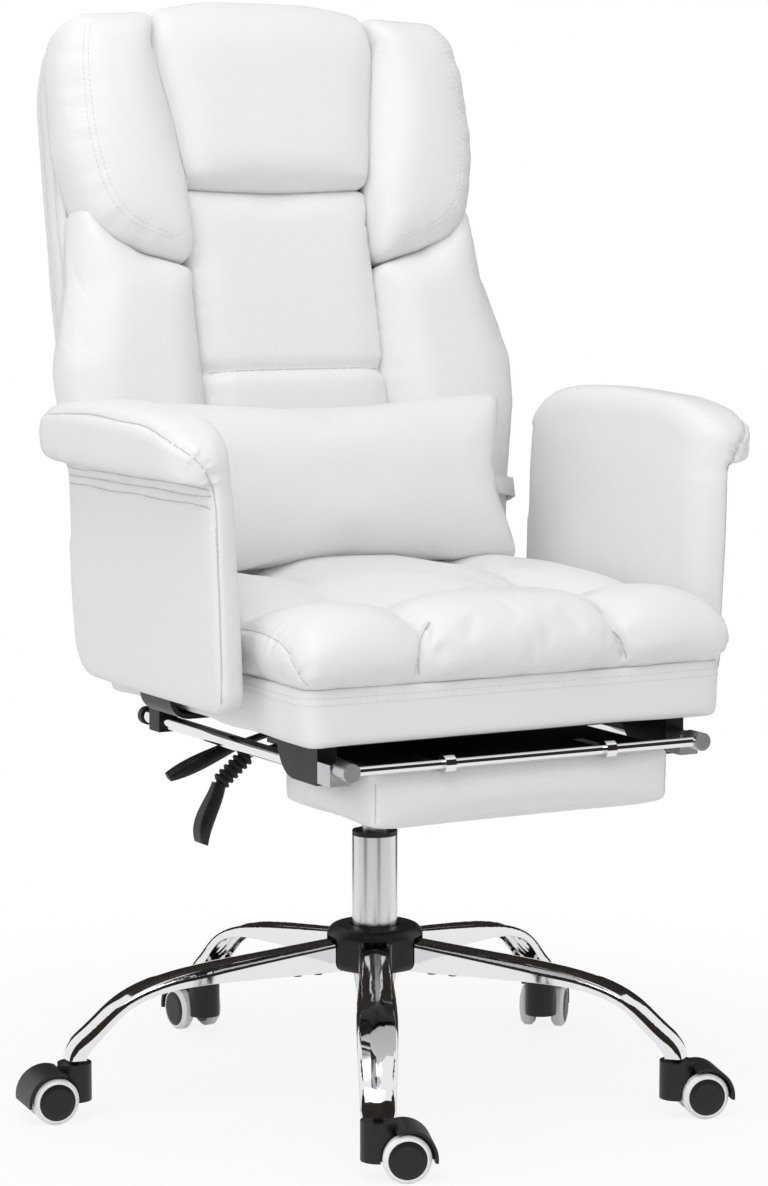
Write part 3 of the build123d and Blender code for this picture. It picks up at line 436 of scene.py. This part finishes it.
# small gathers along a seam
def pucker(piece, seam, reach, depth, pitch, seed):
    gap, along = fromSeam(piece, seam)
    draws = np.random.default_rng(seed)
    wave = sum(
        np.sin(along / pitch * 2 * math.pi * ratio + draws.uniform(*phases)) * share
        for ratio, share in puckerWaves
    )
    push(piece, depth * wave * np.exp(-((gap / reach) ** 2)))


crumpleWaves = 9
crumplePitches = (0.6, 1.5)


# slight unevenness all over a piece
def crumple(piece, size, depth, seed):
    places = points(piece)
    draws = np.random.default_rng(seed)
    wave = np.zeros(len(places))
    for i in range(crumpleWaves):
        way = draws.normal(size=3)
        way *= 2 * math.pi / size * draws.uniform(*crumplePitches) / np.linalg.norm(way)
        wave += np.sin(places @ way + draws.uniform(*phases))
    push(piece, depth * wave / math.sqrt(crumpleWaves))


foldsEnd = 2.5  # in reaches from the spot


# folds that fan out from a sewn spot
def tuft(piece, centre, across, turn, folds, reach, depth):
    offset = points(piece) - np.array(centre)
    a = offset @ np.array(across[0])
    b = offset @ np.array(across[1])
    share = np.hypot(a, b) / reach
    near = np.linalg.norm(offset, axis=1) < reach * foldsEnd
    folded = np.cos(np.arctan2(b, a) * folds + turn) * share * np.exp(-(share ** 2))
    push(piece, depth * folded * near)


def dress(piece, body, fill, *solids, finish=leather):
    piece.data.materials.clear()
    piece.data.materials.append(finish)
    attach(piece, body)
    if solids:
        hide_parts(*solids)
    return piece


def welt(name, piece, seam, radius, sunk):
    curve = bpy.data.curves.new(name, "CURVE")
    curve.dimensions = "3D"
    curve.bevel_depth = radius
    curve.bevel_resolution = 2
    curve.use_fill_caps = True
    laid = lay(piece, seam, laying["weltStep"])
    spline = curve.splines.new("POLY")
    spline.points.add(len(laid) - 1)
    for spot, (place, normal) in zip(spline.points, laid):
        spot.co = (*(place - normal * radius * sunk), 1)
    cord = bpy.data.objects.new(name, curve)
    bpy.context.scene.collection.objects.link(cord)
    pick(cord)
    bpy.ops.object.convert(target="MESH")
    cord = bpy.context.view_layer.objects.active
    smooth(cord)
    return cord


# a welt in its own valley, which is four times as wide as the welt is thick
def piping(name, piece, body, seam, radius, sunk=0.4, valley=0.0, finish=pipingShadeLeather):
    if valley:
        groove(piece, seam, radius * 4, valley)
    dress(welt(name, piece, seam, radius, sunk), body, None, finish=finish)


# rings are the stitch's places along its length, each with its share of the radius
stitch = {
    "length": 0.0042, "pitch": 0.0062, "radius": 0.0006, "proud": 0.3,
    "rings": ((-0.5, 0.35), (-0.3, 1), (0.3, 1), (0.5, 0.35)),
    "round": ((0, 1), (0.87, 0.5), (0.87, -0.5), (0, -1), (-0.87, -0.5), (-0.87, 0.5)),
}


def stitchRow(name, piece, *seams):
    corners = []
    faces = []
    sides = len(stitch["round"])
    bands = len(stitch["rings"]) - 1
    for seam in seams:
        laid = lay(piece, seam, stitch["pitch"])
        for (place, normal), (ahead, other) in zip(laid, laid[1:]):
            along = (ahead - place).normalized()
            side = along.cross(normal).normalized()
            raised = place + normal * stitch["radius"] * stitch["proud"]
            first = len(corners)
            for share, width in stitch["rings"]:
                middle = raised + along * (stitch["length"] * share)
                for a, b in stitch["round"]:
                    corners.append(middle + (side * a + normal * b) * stitch["radius"] * width)
            for k in range(bands):
                low = first + sides * k
                high = low + sides
                for j in range(sides):
                    after = (j + 1) % sides
                    faces.append((low + j, low + after, high + after, high + j))
            faces.append(tuple(first + j for j in reversed(range(sides))))
            faces.append(tuple(first + sides * bands + j for j in range(sides)))
    mesh = bpy.data.meshes.new(name)
    mesh.from_pydata(corners, [], faces)
    row = bpy.data.objects.new(name, mesh)
    bpy.context.scene.collection.objects.link(row)
    smooth(row)
    return row


def sew(name, piece, body, *seams):
    dress(stitchRow(name, piece, *seams), body, None, finish=moulded["white_thread"])


# the back has its own slope: x across, h up its face, f proud of its face
backSlope = math.radians(14)
backRoot = Vector((0, 0.141, 0.573))


def toBack(places):
    y = places[:, 1] - backRoot.y
    z = places[:, 2] - backRoot.z
    up = y * math.sin(backSlope) + z * math.cos(backSlope)
    proud = z * math.sin(backSlope) - y * math.cos(backSlope)
    return np.stack([places[:, 0], up, proud], axis=1)


def fromBack(x, h, f):
    return (
        x,
        backRoot.y + h * math.sin(backSlope) - f * math.cos(backSlope),
        backRoot.z + h * math.cos(backSlope) + f * math.sin(backSlope),
    )


def bothSides(*spots):
    return [[fromBack(side * x, h, f) for x, h, f in spots] for side in (1, -1)]


tipLook = {"from": 0.33, "over": 0.06, "inner": 0.18, "fade": 0.05, "rise": 0.03, "out": 0.006}


# the bolsters run up behind the wings
def tipUp(places):
    look = tipLook
    x, h, f = toBack(places).T
    share = np.clip((h - look["from"]) / look["over"], 0, 1)
    share *= np.clip((np.abs(x) - look["inner"]) / look["fade"], 0, 1)
    moved = places.copy()
    moved[:, 0] += np.sign(x) * look["out"] * share
    moved[:, 1] += look["rise"] * share * math.sin(backSlope)
    moved[:, 2] += look["rise"] * share * math.cos(backSlope)
    return moved


# crown is how far proud of the back a pad's rounded face begins
backLook = {"voxel": 0.006, "rounds": 2, "rear": -0.02, "relax": 24, "fatten": 0.0034}
backPads = {
    "head_pad": {"piece": "headPad", "pressure": 1.2, "cap": 0.005, "fill": 0.8, "crown": 0.017},
    "back_panels": {"piece": "centrePanels", "pressure": 2.5, "cap": 0.007, "fill": 0.7, "crown": 0.008},
    "back_wings": {"piece": "wingPads", "pressure": 3, "cap": 0.01, "fill": 0.8, "crown": 0.028},
    "back_bolsters": {"piece": "sideBolsters", "pressure": 2.5, "cap": 0.008, "fill": 0.7, "crown": 0.018},
}
pads = {}
for solid, look in backPads.items():
    pad = copyOf(look["piece"], solid)
    skin(pad, backLook["voxel"], backLook["rounds"])
    stuff(pad, look["pressure"], look["cap"], lambda places: toBack(places)[:, 2] < backLook["rear"])
    relax(pad, lambda places: toBack(places)[:, 2] > look["crown"], backLook["relax"])
    if solid == "back_bolsters":
        setPoints(pad, tipUp(points(pad)))
    push(pad, backLook["fatten"])
    finer(pad)
    pads[solid] = dress(pad, "back", look["fill"], solid)

# the edge is x and h of the wing's outer rim; gathers and two rows of stitches follow it inside
wingLook = {
    "edge": ((0.17, 0.363), (0.215, 0.377), (0.242, 0.405), (0.256, 0.477), (0.255, 0.57), (0.245, 0.612)),
    "rows": (0.018, 0.025), "rowProud": 0.04, "gatherInset": 0.012, "gatherProud": 0.03,
    "gather": {"reach": 0.02, "depth": 0.0009, "pitch": 0.033, "seed": 4},
}


def wingEdges(inset, proud):
    return bothSides(*[(x - inset, h + inset / 2, proud) for x, h in wingLook["edge"]])


for edge in wingEdges(wingLook["gatherInset"], wingLook["gatherProud"]):
    pucker(pads["back_wings"], edge, **wingLook["gather"])
wingSeams = []
for inset in wingLook["rows"]:
    wingSeams += wingEdges(inset, wingLook["rowProud"])
sew("wingStitching", pads["back_wings"], "back", *wingSeams)

headLook = {
    "edge": (
        (0.114, 0.446, 0.018), (0.12, 0.49, 0.02), (0.127, 0.535, 0.02), (0.139, 0.595, 0.018),
        (0.133, 0.635, 0.012),
    ),
    "radius": 0.0014, "valley": 0.0015,
}
for name, edge in zip(("headPipingLeft", "headPipingRight"), bothSides(*headLook["edge"])):
    piping(name, pads["head_pad"], "back", edge, headLook["radius"], valley=headLook["valley"])

# the seam across the centre panels lies at the bottom of a wide valley
panelLook = {
    "across": (-0.108, -0.05, 0.05, 0.108), "height": 0.225, "proud": 0.004, "reach": 0.009, "depth": 0.004,
    "welt": {"radius": 0.0008, "sunk": 0.3, "valley": 0.002},
}
panelSeam = [fromBack(x, panelLook["height"], panelLook["proud"]) for x in panelLook["across"]]
groove(pads["back_panels"], panelSeam, panelLook["reach"], panelLook["depth"])
piping("panelSeam", pads["back_panels"], "back", panelSeam, **panelLook["welt"], finish=seamShadeLeather)
told("back pads")

# the edge is x and h of half the shell's rim; a row of piping lies at each depth
shellLook = {
    "voxel": 0.007, "rounds": 3, "rows": {"shellPiping": -0.035, "shellRearPiping": -0.077},
    "edge": (
        (0.3, -0.01), (0.3, 0.1), (0.3, 0.33), (0.3, 0.45), (0.3, 0.56),
        (0.27, 0.65), (0.2, 0.7), (0.0, 0.72),
    ),
    "radius": 0.0022, "valley": 0.002,
}
shell = copyOf("backShell", "back_shell")
skin(shell, shellLook["voxel"], shellLook["rounds"])
finer(shell)
dress(shell, "back", None, "back_shell")
for name, f in shellLook["rows"].items():
    left, right = bothSides(*[(x, h, f) for x, h in shellLook["edge"]])
    shellRound = left + right[-2::-1]
    piping(name, shell, "back", shellRound, shellLook["radius"], valley=shellLook["valley"])

pillowLook = {"voxel": 0.007, "rounds": 4, "pressure": 3.5, "cap": 0.012, "rear": 0.04, "fill": 0.75}
pillow = copyOf("lumbarPillow", "lumbar_pillow")
skin(pillow, pillowLook["voxel"], pillowLook["rounds"])
stuff(
    pillow, pillowLook["pressure"], pillowLook["cap"],
    lambda places: toBack(places)[:, 2] < pillowLook["rear"],
)
finer(pillow)
dress(pillow, "back", pillowLook["fill"], "lumbar_pillow")
told("shell and pillow")

# two columns and one row part the seat's top into puffs
# tight gives the places along a column where the leather is drawn in, each with its reach
seatLook = {
    "half": 0.25, "front": -0.316, "rear": 0.108, "seam": 0.4995, "shoulder": 0.552, "corner": 0.022,
    "voxel": 0.0055, "rounds": 2, "pressure": 2.2, "cap": 0.008, "slack": 0.01, "fill": 0.8,
    "rise": 0.034, "rim": 0.006, "sidePower": 9, "frontPower": 7, "hem": 0.004, "lip": 0.008,
    "wall": 0.06, "wallPower": 0.8, "frontBulge": 0.011, "frontFade": 0.022,
    "sideBulge": 0.0055, "sideFade": 0.03,
    "column": 0.115, "columnReach": 0.024, "columnPower": 1.05, "columnDip": 0.5, "columnDraw": 0.5,
    "row": -0.17, "rowReach": 0.036, "rowPower": 1.15, "rowDip": 0.5, "rowDraw": 0.4, "crossReach": 0.045,
    "tight": ((-0.17, 0.045), (-0.33, 0.05), (0.03, 0.06)),
    "crumple": {"size": 0.07, "depth": 0.0005, "seed": 8},
}
tuftLook = {"height": 0.556, "hold": 0.012, "folds": {"folds": 7, "reach": 0.032, "depth": 0.00416}}
pullLook = {
    "proud": 0.004, "height": 0.535, "hold": 0.008, "behind": 0.012,
    "folds": {"folds": 5, "reach": 0.026, "depth": 0.00144},
}
creaseLook = {
    "heights": (0.57, 0.545, 0.516), "back": 0.014, "lean": 0.006, "width": 0.0045, "depth": 0.0075,
    "welt": {"radius": 0.0007, "sunk": 0.2},
}


def seatShape(places):
    x, y, z = places.T
    look = seatLook
    nearColumn = np.abs(np.abs(x) - look["column"])
    nearRow = np.abs(y - look["row"])
    drawn = np.maximum.reduce([np.exp(-(((y - spot) / reach) ** 2)) for spot, reach in look["tight"]])
    crossing = np.exp(-((nearColumn / look["crossReach"]) ** 2))
    columnDepth = look["columnDip"] + look["columnDraw"] * drawn
    rowDepth = look["rowDip"] + look["rowDraw"] * crossing
    columns = 1 - columnDepth * np.exp(-((nearColumn / look["columnReach"]) ** look["columnPower"]))
    rows = 1 - rowDepth * np.exp(-((nearRow / look["rowReach"]) ** look["rowPower"]))
    toSide = np.clip(np.abs(x) / (look["half"] + look["rim"]), 0, 1)
    toFront = np.clip((look["row"] - y) / (look["row"] - look["front"] + look["rim"]), 0, 1)
    rim = (1 - toSide ** look["sidePower"]) * (1 - toFront ** look["frontPower"])
    foot = look["seam"] + look["lip"]
    top = np.clip((z - foot) / (look["shoulder"] - foot), 0, 1)
    top = top * top * (3 - 2 * top)
    swell = np.sin(np.clip((z - look["seam"]) / look["wall"], 0, 1) * math.pi) ** look["wallPower"]
    front = np.exp(-(((y - look["front"]) / look["frontFade"]) ** 2)) * swell * columns
    side = np.clip((np.abs(x) - look["half"] + look["sideFade"]) / look["sideFade"], 0, 1) * swell
    return np.stack(
        [
            x + np.sign(x) * side * look["sideBulge"],
            y - front * look["frontBulge"],
            z + top * look["rise"] * columns * rows * rim,
        ],
        axis=1,
    )


def makeSeat():
    look = seatLook
    bpy.ops.object.select_all(action="DESELECT")
    middle = (0, (look["front"] + look["rear"]) / 2, (look["seam"] + look["shoulder"]) / 2)
    bpy.ops.mesh.primitive_cube_add(size=1, location=middle)
    cushion = bpy.context.object
    cushion.name = "seatCushion"
    cushion.scale = (2 * look["half"], look["rear"] - look["front"], look["shoulder"] - look["seam"])
    bpy.ops.object.transform_apply(location=True, rotation=True, scale=True)
    for edge in cushion.data.edges:
        ends = [cushion.data.vertices[i].co.z for i in edge.vertices]
        edge.select = max(ends) > middle[2]
    bpy.ops.object.mode_set(mode="EDIT")
    bpy.ops.mesh.select_mode(type="EDGE")
    bpy.ops.mesh.bevel(offset=look["corner"], segments=5)
    bpy.ops.object.mode_set(mode="OBJECT")
    skin(cushion, look["voxel"], look["rounds"])
    setPoints(cushion, seatShape(points(cushion)))
    columns = (look["column"], -look["column"])
    tufts = [(x, look["row"], tuftLook["height"]) for x in columns]
    pulls = [(x, look["front"] - pullLook["proud"], pullLook["height"]) for x in columns]

    def sewn(places):
        x, y, z = places.T
        held = z < look["seam"] + look["hem"]
        for spot in tufts:
            held |= np.hypot(x - spot[0], y - spot[1]) < tuftLook["hold"]
        for spot in pulls:
            held |= (np.abs(x - spot[0]) < pullLook["hold"]) & (y < look["front"] + pullLook["behind"])
        return held

    stuff(cushion, look["pressure"], look["cap"], sewn, look["slack"])
    finer(cushion)
    for k, spot in enumerate(tufts):
        tuft(cushion, spot, ((1, 0, 0), (0, 1, 0)), k, **tuftLook["folds"])
    creases = []
    creaseTop, creaseMiddle, creaseFoot = creaseLook["heights"]
    for k, (x, y, z) in enumerate(pulls):
        tuft(cushion, (x, y, z), ((1, 0, 0), (0, 0, 1)), k + 2, **pullLook["folds"])
        lean = math.copysign(creaseLook["lean"], x)
        start = (x - lean, y + creaseLook["back"], creaseTop)
        creases.append([start, (x, y, creaseMiddle), (x + lean, y, creaseFoot)])
        groove(cushion, creases[-1], creaseLook["width"], creaseLook["depth"])
    crumple(cushion, **look["crumple"])
    dress(cushion, "seat", look["fill"], "seat_cushion")
    # a thin cord of the darker seam leather lies in each crease, a painted shadow line along the fold
    for name, crease in zip(("creaseLeft", "creaseRight"), creases):
        piping(name, cushion, "seat", crease, **creaseLook["welt"], finish=seamShadeLeather)
    return cushion


# the side panels of the cushion are sewn in along a half-moon seam, gathered at its front
boxingLook = {
    "seam": (
        (0.25, 0.04, 0.548), (0.254, -0.12, 0.556), (0.254, -0.23, 0.556), (0.252, -0.285, 0.548),
        (0.248, -0.308, 0.53), (0.246, -0.314, 0.508),
    ),
    "gather": {"reach": 0.016, "depth": 0.0011, "pitch": 0.016}, "seed": 12,
    "welt": {"radius": 0.0008, "sunk": 0.3, "valley": 0.002},
}
cushion = makeSeat()
for side, name in ((1, "boxingSeamLeft"), (-1, "boxingSeamRight")):
    seam = [(side * x, y, z) for x, y, z in boxingLook["seam"]]
    pucker(cushion, seam[2:], **boxingLook["gather"], seed=boxingLook["seed"] + side)
    piping(name, cushion, "seat", seam, **boxingLook["welt"], finish=seamShadeLeather)
told("seat cushion")

bandLook = {
    "voxel": 0.006, "rounds": 1, "crumple": {"size": 0.12, "depth": 0.0006, "seed": 3},
    "seam": ((-0.25, 0.1), (-0.25, -0.3), (-0.235, -0.318), (0.235, -0.318), (0.25, -0.3), (0.25, 0.1)),
    "rows": (0.497, 0.49),
}
seatBand = copyOf("seatBox", "seat_box")
skin(seatBand, bandLook["voxel"], bandLook["rounds"])
crumple(seatBand, **bandLook["crumple"])
finer(seatBand)
dress(seatBand, "seat", None, "seat_box")
bandRows = [[(x, y, z) for x, y in bandLook["seam"]] for z in bandLook["rows"]]
sew("seatStitching", seatBand, "seat", *bandRows)

restLook = {
    "voxel": 0.005, "rounds": 1, "pressure": 2.0, "cap": 0.004, "top": 0.412, "fill": 0.8,
    "corner": (0.18, -0.325), "heights": (0.411, 0.39, 0.366),
    "gather": {"reach": 0.012, "depth": 0.0006, "pitch": 0.012}, "seed": 20,
    "welt": {"radius": 0.0007, "sunk": 0.2, "valley": 0.001},
}
restPad = copyOf("footrestPad", "footrest_pad")
skin(restPad, restLook["voxel"], restLook["rounds"])
stuff(restPad, restLook["pressure"], restLook["cap"], lambda places: places[:, 2] > restLook["top"])
finer(restPad)
cornerX, cornerY = restLook["corner"]
restCorners = [[(side * cornerX, cornerY, z) for z in restLook["heights"]] for side in (1, -1)]
for k, seam in enumerate(restCorners):
    pucker(restPad, seam, **restLook["gather"], seed=restLook["seed"] + k)
dress(restPad, "footrest", restLook["fill"], "footrest_pad")
for name, seam in zip(("footrestSeamLeft", "footrestSeamRight"), restCorners):
    piping(name, restPad, "footrest", seam, **restLook["welt"], finish=seamShadeLeather)

# names ending in From say where a bend begins, and in Over how far it runs
armLook = {
    "voxel": 0.005, "rounds": 3, "fill": 0.7, "front": -0.222, "rear": 0.135, "bottom": 0.472, "top": 0.777,
    "forward": 0.014, "forwardFrom": -0.14, "forwardOver": 0.08,
    "nose": 0.034, "noseEdge": 0.299, "noseFoot": 0.6,
    "edge": 0.303, "sweep": 0.042, "sweepShare": 0.94, "archFrom": 0.69, "archPower": 1.4,
    "crest": 0.046, "crestOver": 0.09, "tail": 0.04, "tailOver": 0.12, "tailEdge": 0.318, "tailFade": 0.05,
    "sag": 0.004, "sagFrom": -0.06, "sagOver": 0.16, "hump": 0.003, "humpAt": -0.02, "humpOver": 0.07,
    "splay": 0.01, "overhang": 0.008, "overhangOver": 0.02,
    "topEdge": 0.3, "topRelax": 20, "rearFrom": 0.06, "rearLow": 0.62, "rearRelax": 30,
    "padEdge": (0.329, 0.764), "padRear": 0.12, "padSteps": 40,
    "panelInset": 0.001, "panelTop": 0.725, "panelFoot": 0.485, "panelSteps": 24,
    "welt": {"radius": 0.001, "sunk": 0.3, "valley": 0.0025},
    "gather": {"reach": 0.014, "depth": 0.0011, "pitch": 0.012}, "gatherFrom": (-0.16, 0.685),
    "gatherSeed": 30,
    "crumple": {"size": 0.16, "depth": 0.0007}, "crumpleSeed": 33,
    "stitching": ((0.302, -0.228, 0.66), (0.297, -0.228, 0.58), (0.294, -0.227, 0.5)),
}
# three tucks under the pad, each a slightly wavy line along the panel, with a cord of darker leather as
# painted shade in its valley
tuckLook = {
    "rows": {"Upper": 0.7, "Middle": 0.691, "Lower": 0.682},
    "across": 0.312, "ends": (-0.228, 0.12), "steps": 24,
    "wave": 0.0006, "turns": 48, "shift": 900, "width": 0.0021, "depth": 0.002,
    "welt": {"radius": 0.0008, "sunk": 0.2},
}


def curveDown(share):
    return 1 - np.sqrt(1 - np.clip(share, 0, 1) ** 2)


# the inner leather rolls round the front and over the top, and the arm leans out
def armShape(places):
    x, y, z = places.T
    look = armLook
    across = np.abs(x)
    nearFront = np.clip((look["forwardFrom"] - y) / look["forwardOver"], 0, 1)
    nose = look["nose"] * curveDown((look["noseEdge"] - across) / look["nose"]) * nearFront
    toCorner = (look["front"] + look["sweep"] - y) / look["sweep"]
    across = across - look["sweepShare"] * np.maximum(across - look["edge"], 0) * curveDown(toCorner)
    height = np.clip((z - look["bottom"]) / (look["top"] - look["bottom"]), 0, 1)
    upper = np.clip((z - look["archFrom"]) / (look["top"] - look["archFrom"]), 0, 1) ** look["archPower"]
    toFront = (look["front"] + look["crestOver"] - y) / look["crestOver"]
    toRear = (y - look["rear"] + look["tailOver"]) / look["tailOver"]
    inward = np.clip((look["tailEdge"] - across) / look["tailFade"], 0, 1)
    drop = look["crest"] * curveDown(toFront) + look["tail"] * curveDown(toRear) * inward
    drop += look["sag"] * np.clip((look["sagFrom"] - y) / look["sagOver"], 0, 1) ** 2
    drop -= look["hump"] * np.exp(-(((y - look["humpAt"]) / look["humpOver"]) ** 2))
    overhang = np.clip((across - look["edge"]) / look["overhangOver"], 0, 1)
    outward = look["splay"] * height + look["overhang"] * overhang
    return np.stack(
        [
            np.sign(x) * (across + outward),
            y - look["forward"] * nearFront + nose * (look["noseFoot"] + (1 - look["noseFoot"]) * height),
            z - drop * upper,
        ],
        axis=1,
    )


# the sewn line runs along the pad's outer edge, round its front and down the panel
def armSeam():
    look = armLook
    padX, padZ = look["padEdge"]
    panelX = look["edge"] - look["panelInset"]
    padAlong = np.linspace(look["padRear"], look["front"], look["padSteps"])
    panelDown = np.linspace(look["panelTop"], look["panelFoot"], look["panelSteps"])
    padLine = [(padX, y, padZ) for y in padAlong]
    panelLine = [(panelX, look["front"], z) for z in panelDown]
    return armShape(np.array(padLine + panelLine))


def armTop(places):
    return (places[:, 2] > armLook["archFrom"]) & (np.abs(places[:, 0]) < armLook["topEdge"])


def armRear(places):
    return (places[:, 2] > armLook["rearLow"]) & (places[:, 1] > armLook["rearFrom"])


def tuckLine(side, height):
    look = tuckLook
    along = np.linspace(*look["ends"], look["steps"])
    waves = look["wave"] * np.sin(along * look["turns"] + height * look["shift"])
    return [(side * look["across"], y, height + wave) for y, wave in zip(along, waves)]


def makeArm(name, side):
    look = armLook
    arm = copyOf(name, "arm_panels", "arm_pads")
    keepSide(arm, (side, 0, 0))
    skin(arm, look["voxel"], look["rounds"])
    setPoints(arm, armShape(points(arm)))
    applyModifier(arm, "SMOOTH", factor=0.5, iterations=2)
    relax(arm, armTop, look["topRelax"])
    relax(arm, armRear, look["rearRelax"])
    finer(arm)
    seam = armSeam() * (side, 1, 1)
    gatherY, gatherZ = look["gatherFrom"]
    gathered = seam[(seam[:, 1] < gatherY) & (seam[:, 2] > gatherZ)]
    pucker(arm, gathered, **look["gather"], seed=look["gatherSeed"] + side)
    crumple(arm, **look["crumple"], seed=look["crumpleSeed"] + side)
    dress(arm, "seat", look["fill"], "arm_panels", "arm_pads")
    piping(f"{name}Piping", arm, "seat", seam, **look["welt"], finish=seamShadeLeather)
    sew(f"{name}Stitching", arm, "seat", [(side * x, y, z) for x, y, z in look["stitching"]])
    for tag, height in tuckLook["rows"].items():
        tuck = tuckLine(side, height)
        groove(arm, tuck, tuckLook["width"], tuckLook["depth"])
        piping(f"{name}{tag}Tuck", arm, "seat", tuck, **tuckLook["welt"], finish=seamShadeLeather)


for side, name in ((1, "leftArm"), (-1, "rightArm")):
    makeArm(name, side)
told("box, footrest and arms")

# the strap and the hard pieces keep their solids' shapes, with round faces shaded smooth
roundAngles = {"strap": 40, "hard": 35}
strap = copyOf("pillowStrap", "pillow_strap")
smooth(strap, roundAngles["strap"])
dress(strap, "back", None, "pillow_strap")
for entry in frame["record"]["subparts"]:
    if not nodes[entry["node"]].hide_render:
        smooth(nodes[entry["node"]], roundAngles["hard"])
told("strap and hard pieces")

# floor, lights and camera
photoCamera = {"place": (-1.7388, -3.2104, 0.975), "turn": 28.6, "down": 6.52, "lens": 101.9}
skyStrength = 0.5
floorLook = {"size": 14, "colour": (0.9, 0.9, 0.9, 1), "shade": 0.85, "shadeFrom": 0.25, "shadeTo": 1.1}
lamps = {
    "keyLamp": {"place": (-0.9, -1.3, 3.1), "target": (0, 0, 0.8), "size": (2.4, 2.0), "power": 40},
    "leftLamp": {"place": (-3.2, -0.7, 1.7), "target": (0, 0, 0.7), "size": (2.2, 2.4), "power": 20},
    "frontLamp": {"place": (-1.7, -3.2, 1.5), "target": (0, 0, 0.75), "size": (1.8, 1.8), "power": 8},
    "fillLamp": {"place": (2.8, -2.4, 1.8), "target": (0, 0, 0.7), "size": (2.0, 2.4), "power": 6},
    "rimLamp": {"place": (0.6, 2.6, 2.8), "target": (0, 0, 0.8), "size": (2.4, 1.6), "power": 9},
}


# rays straight from the camera, and reflected ones
def seenRays(tree):
    straight = addNode(tree, "ShaderNodeLightPath", out="Is Camera Ray")
    mirrored = addNode(tree, "ShaderNodeLightPath", out="Is Glossy Ray")
    return addNode(tree, "ShaderNodeMath", {"operation": "MAXIMUM"}, {0: straight, 1: mirrored})


# the floor looks white, with a little of the chair's shadow near its middle
def makeFloor():
    look = floorLook
    bpy.ops.object.select_all(action="DESELECT")
    bpy.ops.mesh.primitive_plane_add(size=look["size"], location=(0, 0, 0))
    floor = bpy.context.object
    floor.name = "studioFloor"
    finish = Finish("pale_floor", Roughness=0.9, Specular_IOR_Level=0.1, Base_Color=look["colour"])
    tree = finish.tree
    away = addNode(tree, "ShaderNodeVectorMath", {"operation": "LENGTH"}, {0: finish.place}, "Value")
    fade = addNode(
        tree, "ShaderNodeMapRange", {"interpolation_type": "SMOOTHSTEP"},
        {
            "Value": away, "From Min": look["shadeFrom"], "From Max": look["shadeTo"],
            "To Min": look["shade"], "To Max": 1.0,
        },
    )
    white = addNode(tree, "ShaderNodeEmission", None, {"Strength": 1.0})
    plain = Wire(tree, finish.shader.outputs[0])
    mixed = addNode(tree, "ShaderNodeMixShader", None, {0: seenRays(tree) * fade, 1: plain, 2: white})
    tree.links.new(mixed.socket, tree.nodes["Material Output"].inputs[0])
    floor.data.materials.append(finish.material)


def makeWorld():
    world = bpy.data.worlds.new("studio")
    bpy.context.scene.world = world
    world.use_nodes = True
    tree = world.node_tree
    dim = tree.nodes["Background"]
    dim.inputs["Color"].default_value = (1, 1, 1, 1)
    dim.inputs["Strength"].default_value = skyStrength
    sky = Wire(tree, dim.outputs[0])
    white = addNode(tree, "ShaderNodeBackground", None, {"Color": (1, 1, 1, 1), "Strength": 1.0})
    mixed = addNode(tree, "ShaderNodeMixShader", None, {0: seenRays(tree), 1: sky, 2: white})
    tree.links.new(mixed.socket, tree.nodes["World Output"].inputs[0])


# dark cards that show only in reflections, as the dim part of a photo studio
# a card is given by its bearing from the camera, distance, width, lower and upper edge
darkRing = {
    "radius": 2.4, "height": 3.0, "sides": 96, "colour": (0.035, 0.03, 0.026, 1),
    "cards": (
        (-48, 1.15, 0.34, 0, 1.2),
        (21, 1.15, 0.3, 0, 1.2),
        (146, 1.15, 0.6, 0, 1.2),
        (-146, 1.15, 0.6, 0, 1.2),
        (180, 2.4, 1.5, 0.2, 3.4),
    ),
}


def makeDarkRing():
    look = darkRing
    bpy.ops.object.select_all(action="DESELECT")
    bpy.ops.mesh.primitive_cylinder_add(
        vertices=look["sides"], radius=look["radius"], depth=look["height"], end_fill_type="NOTHING",
        location=(0, 0, look["height"] / 2),
    )
    cards = [bpy.context.object]
    turn = math.radians(photoCamera["turn"])
    keepSide(cards[0], (-math.sin(turn), -math.cos(turn), 0))  # the camera's half
    bpy.ops.object.select_all(action="DESELECT")
    for bearing, away, width, low, high in look["cards"]:
        turn = math.radians(photoCamera["turn"] - bearing)
        place = (-math.sin(turn) * away, -math.cos(turn) * away, (low + high) / 2)
        bpy.ops.mesh.primitive_plane_add(size=1, location=place, rotation=(math.pi / 2, 0, -turn))
        bpy.context.object.scale = (width, high - low, 1)
        cards.append(bpy.context.object)
    finish = Finish("dim_studio", Roughness=1.0, Specular_IOR_Level=0.0, Base_Color=look["colour"])
    for card in cards:
        card.name = "darkCard"
        card.data.materials.append(finish.material)
        card.visible_camera = False
        card.visible_diffuse = False
        card.visible_shadow = False
        card.visible_transmission = False


def areaLamp(name, place, target, size, power):
    bpy.ops.object.light_add(type="AREA", location=place)
    lamp = bpy.context.object
    lamp.name = name
    lamp.data.shape = "RECTANGLE"
    lamp.data.size, lamp.data.size_y = size
    lamp.data.energy = power
    lamp.rotation_euler = (Vector(target) - Vector(place)).to_track_quat("-Z", "Y").to_euler()


def makeCamera():
    bpy.ops.object.camera_add(location=photoCamera["place"])
    camera = bpy.context.object
    turn = math.radians(photoCamera["turn"])
    down = math.radians(photoCamera["down"])
    ahead = Vector((math.sin(turn) * math.cos(down), math.cos(turn) * math.cos(down), -math.sin(down)))
    camera.rotation_euler = ahead.to_track_quat("-Z", "Y").to_euler()
    camera.data.sensor_width = 36
    camera.data.lens = photoCamera["lens"]
    bpy.context.scene.camera = camera


makeFloor()
makeWorld()
makeDarkRing()
for name, lamp in lamps.items():
    areaLamp(name, **lamp)
makeCamera()
bpy.context.scene.view_settings.view_transform = "Standard"
print("studio ready")
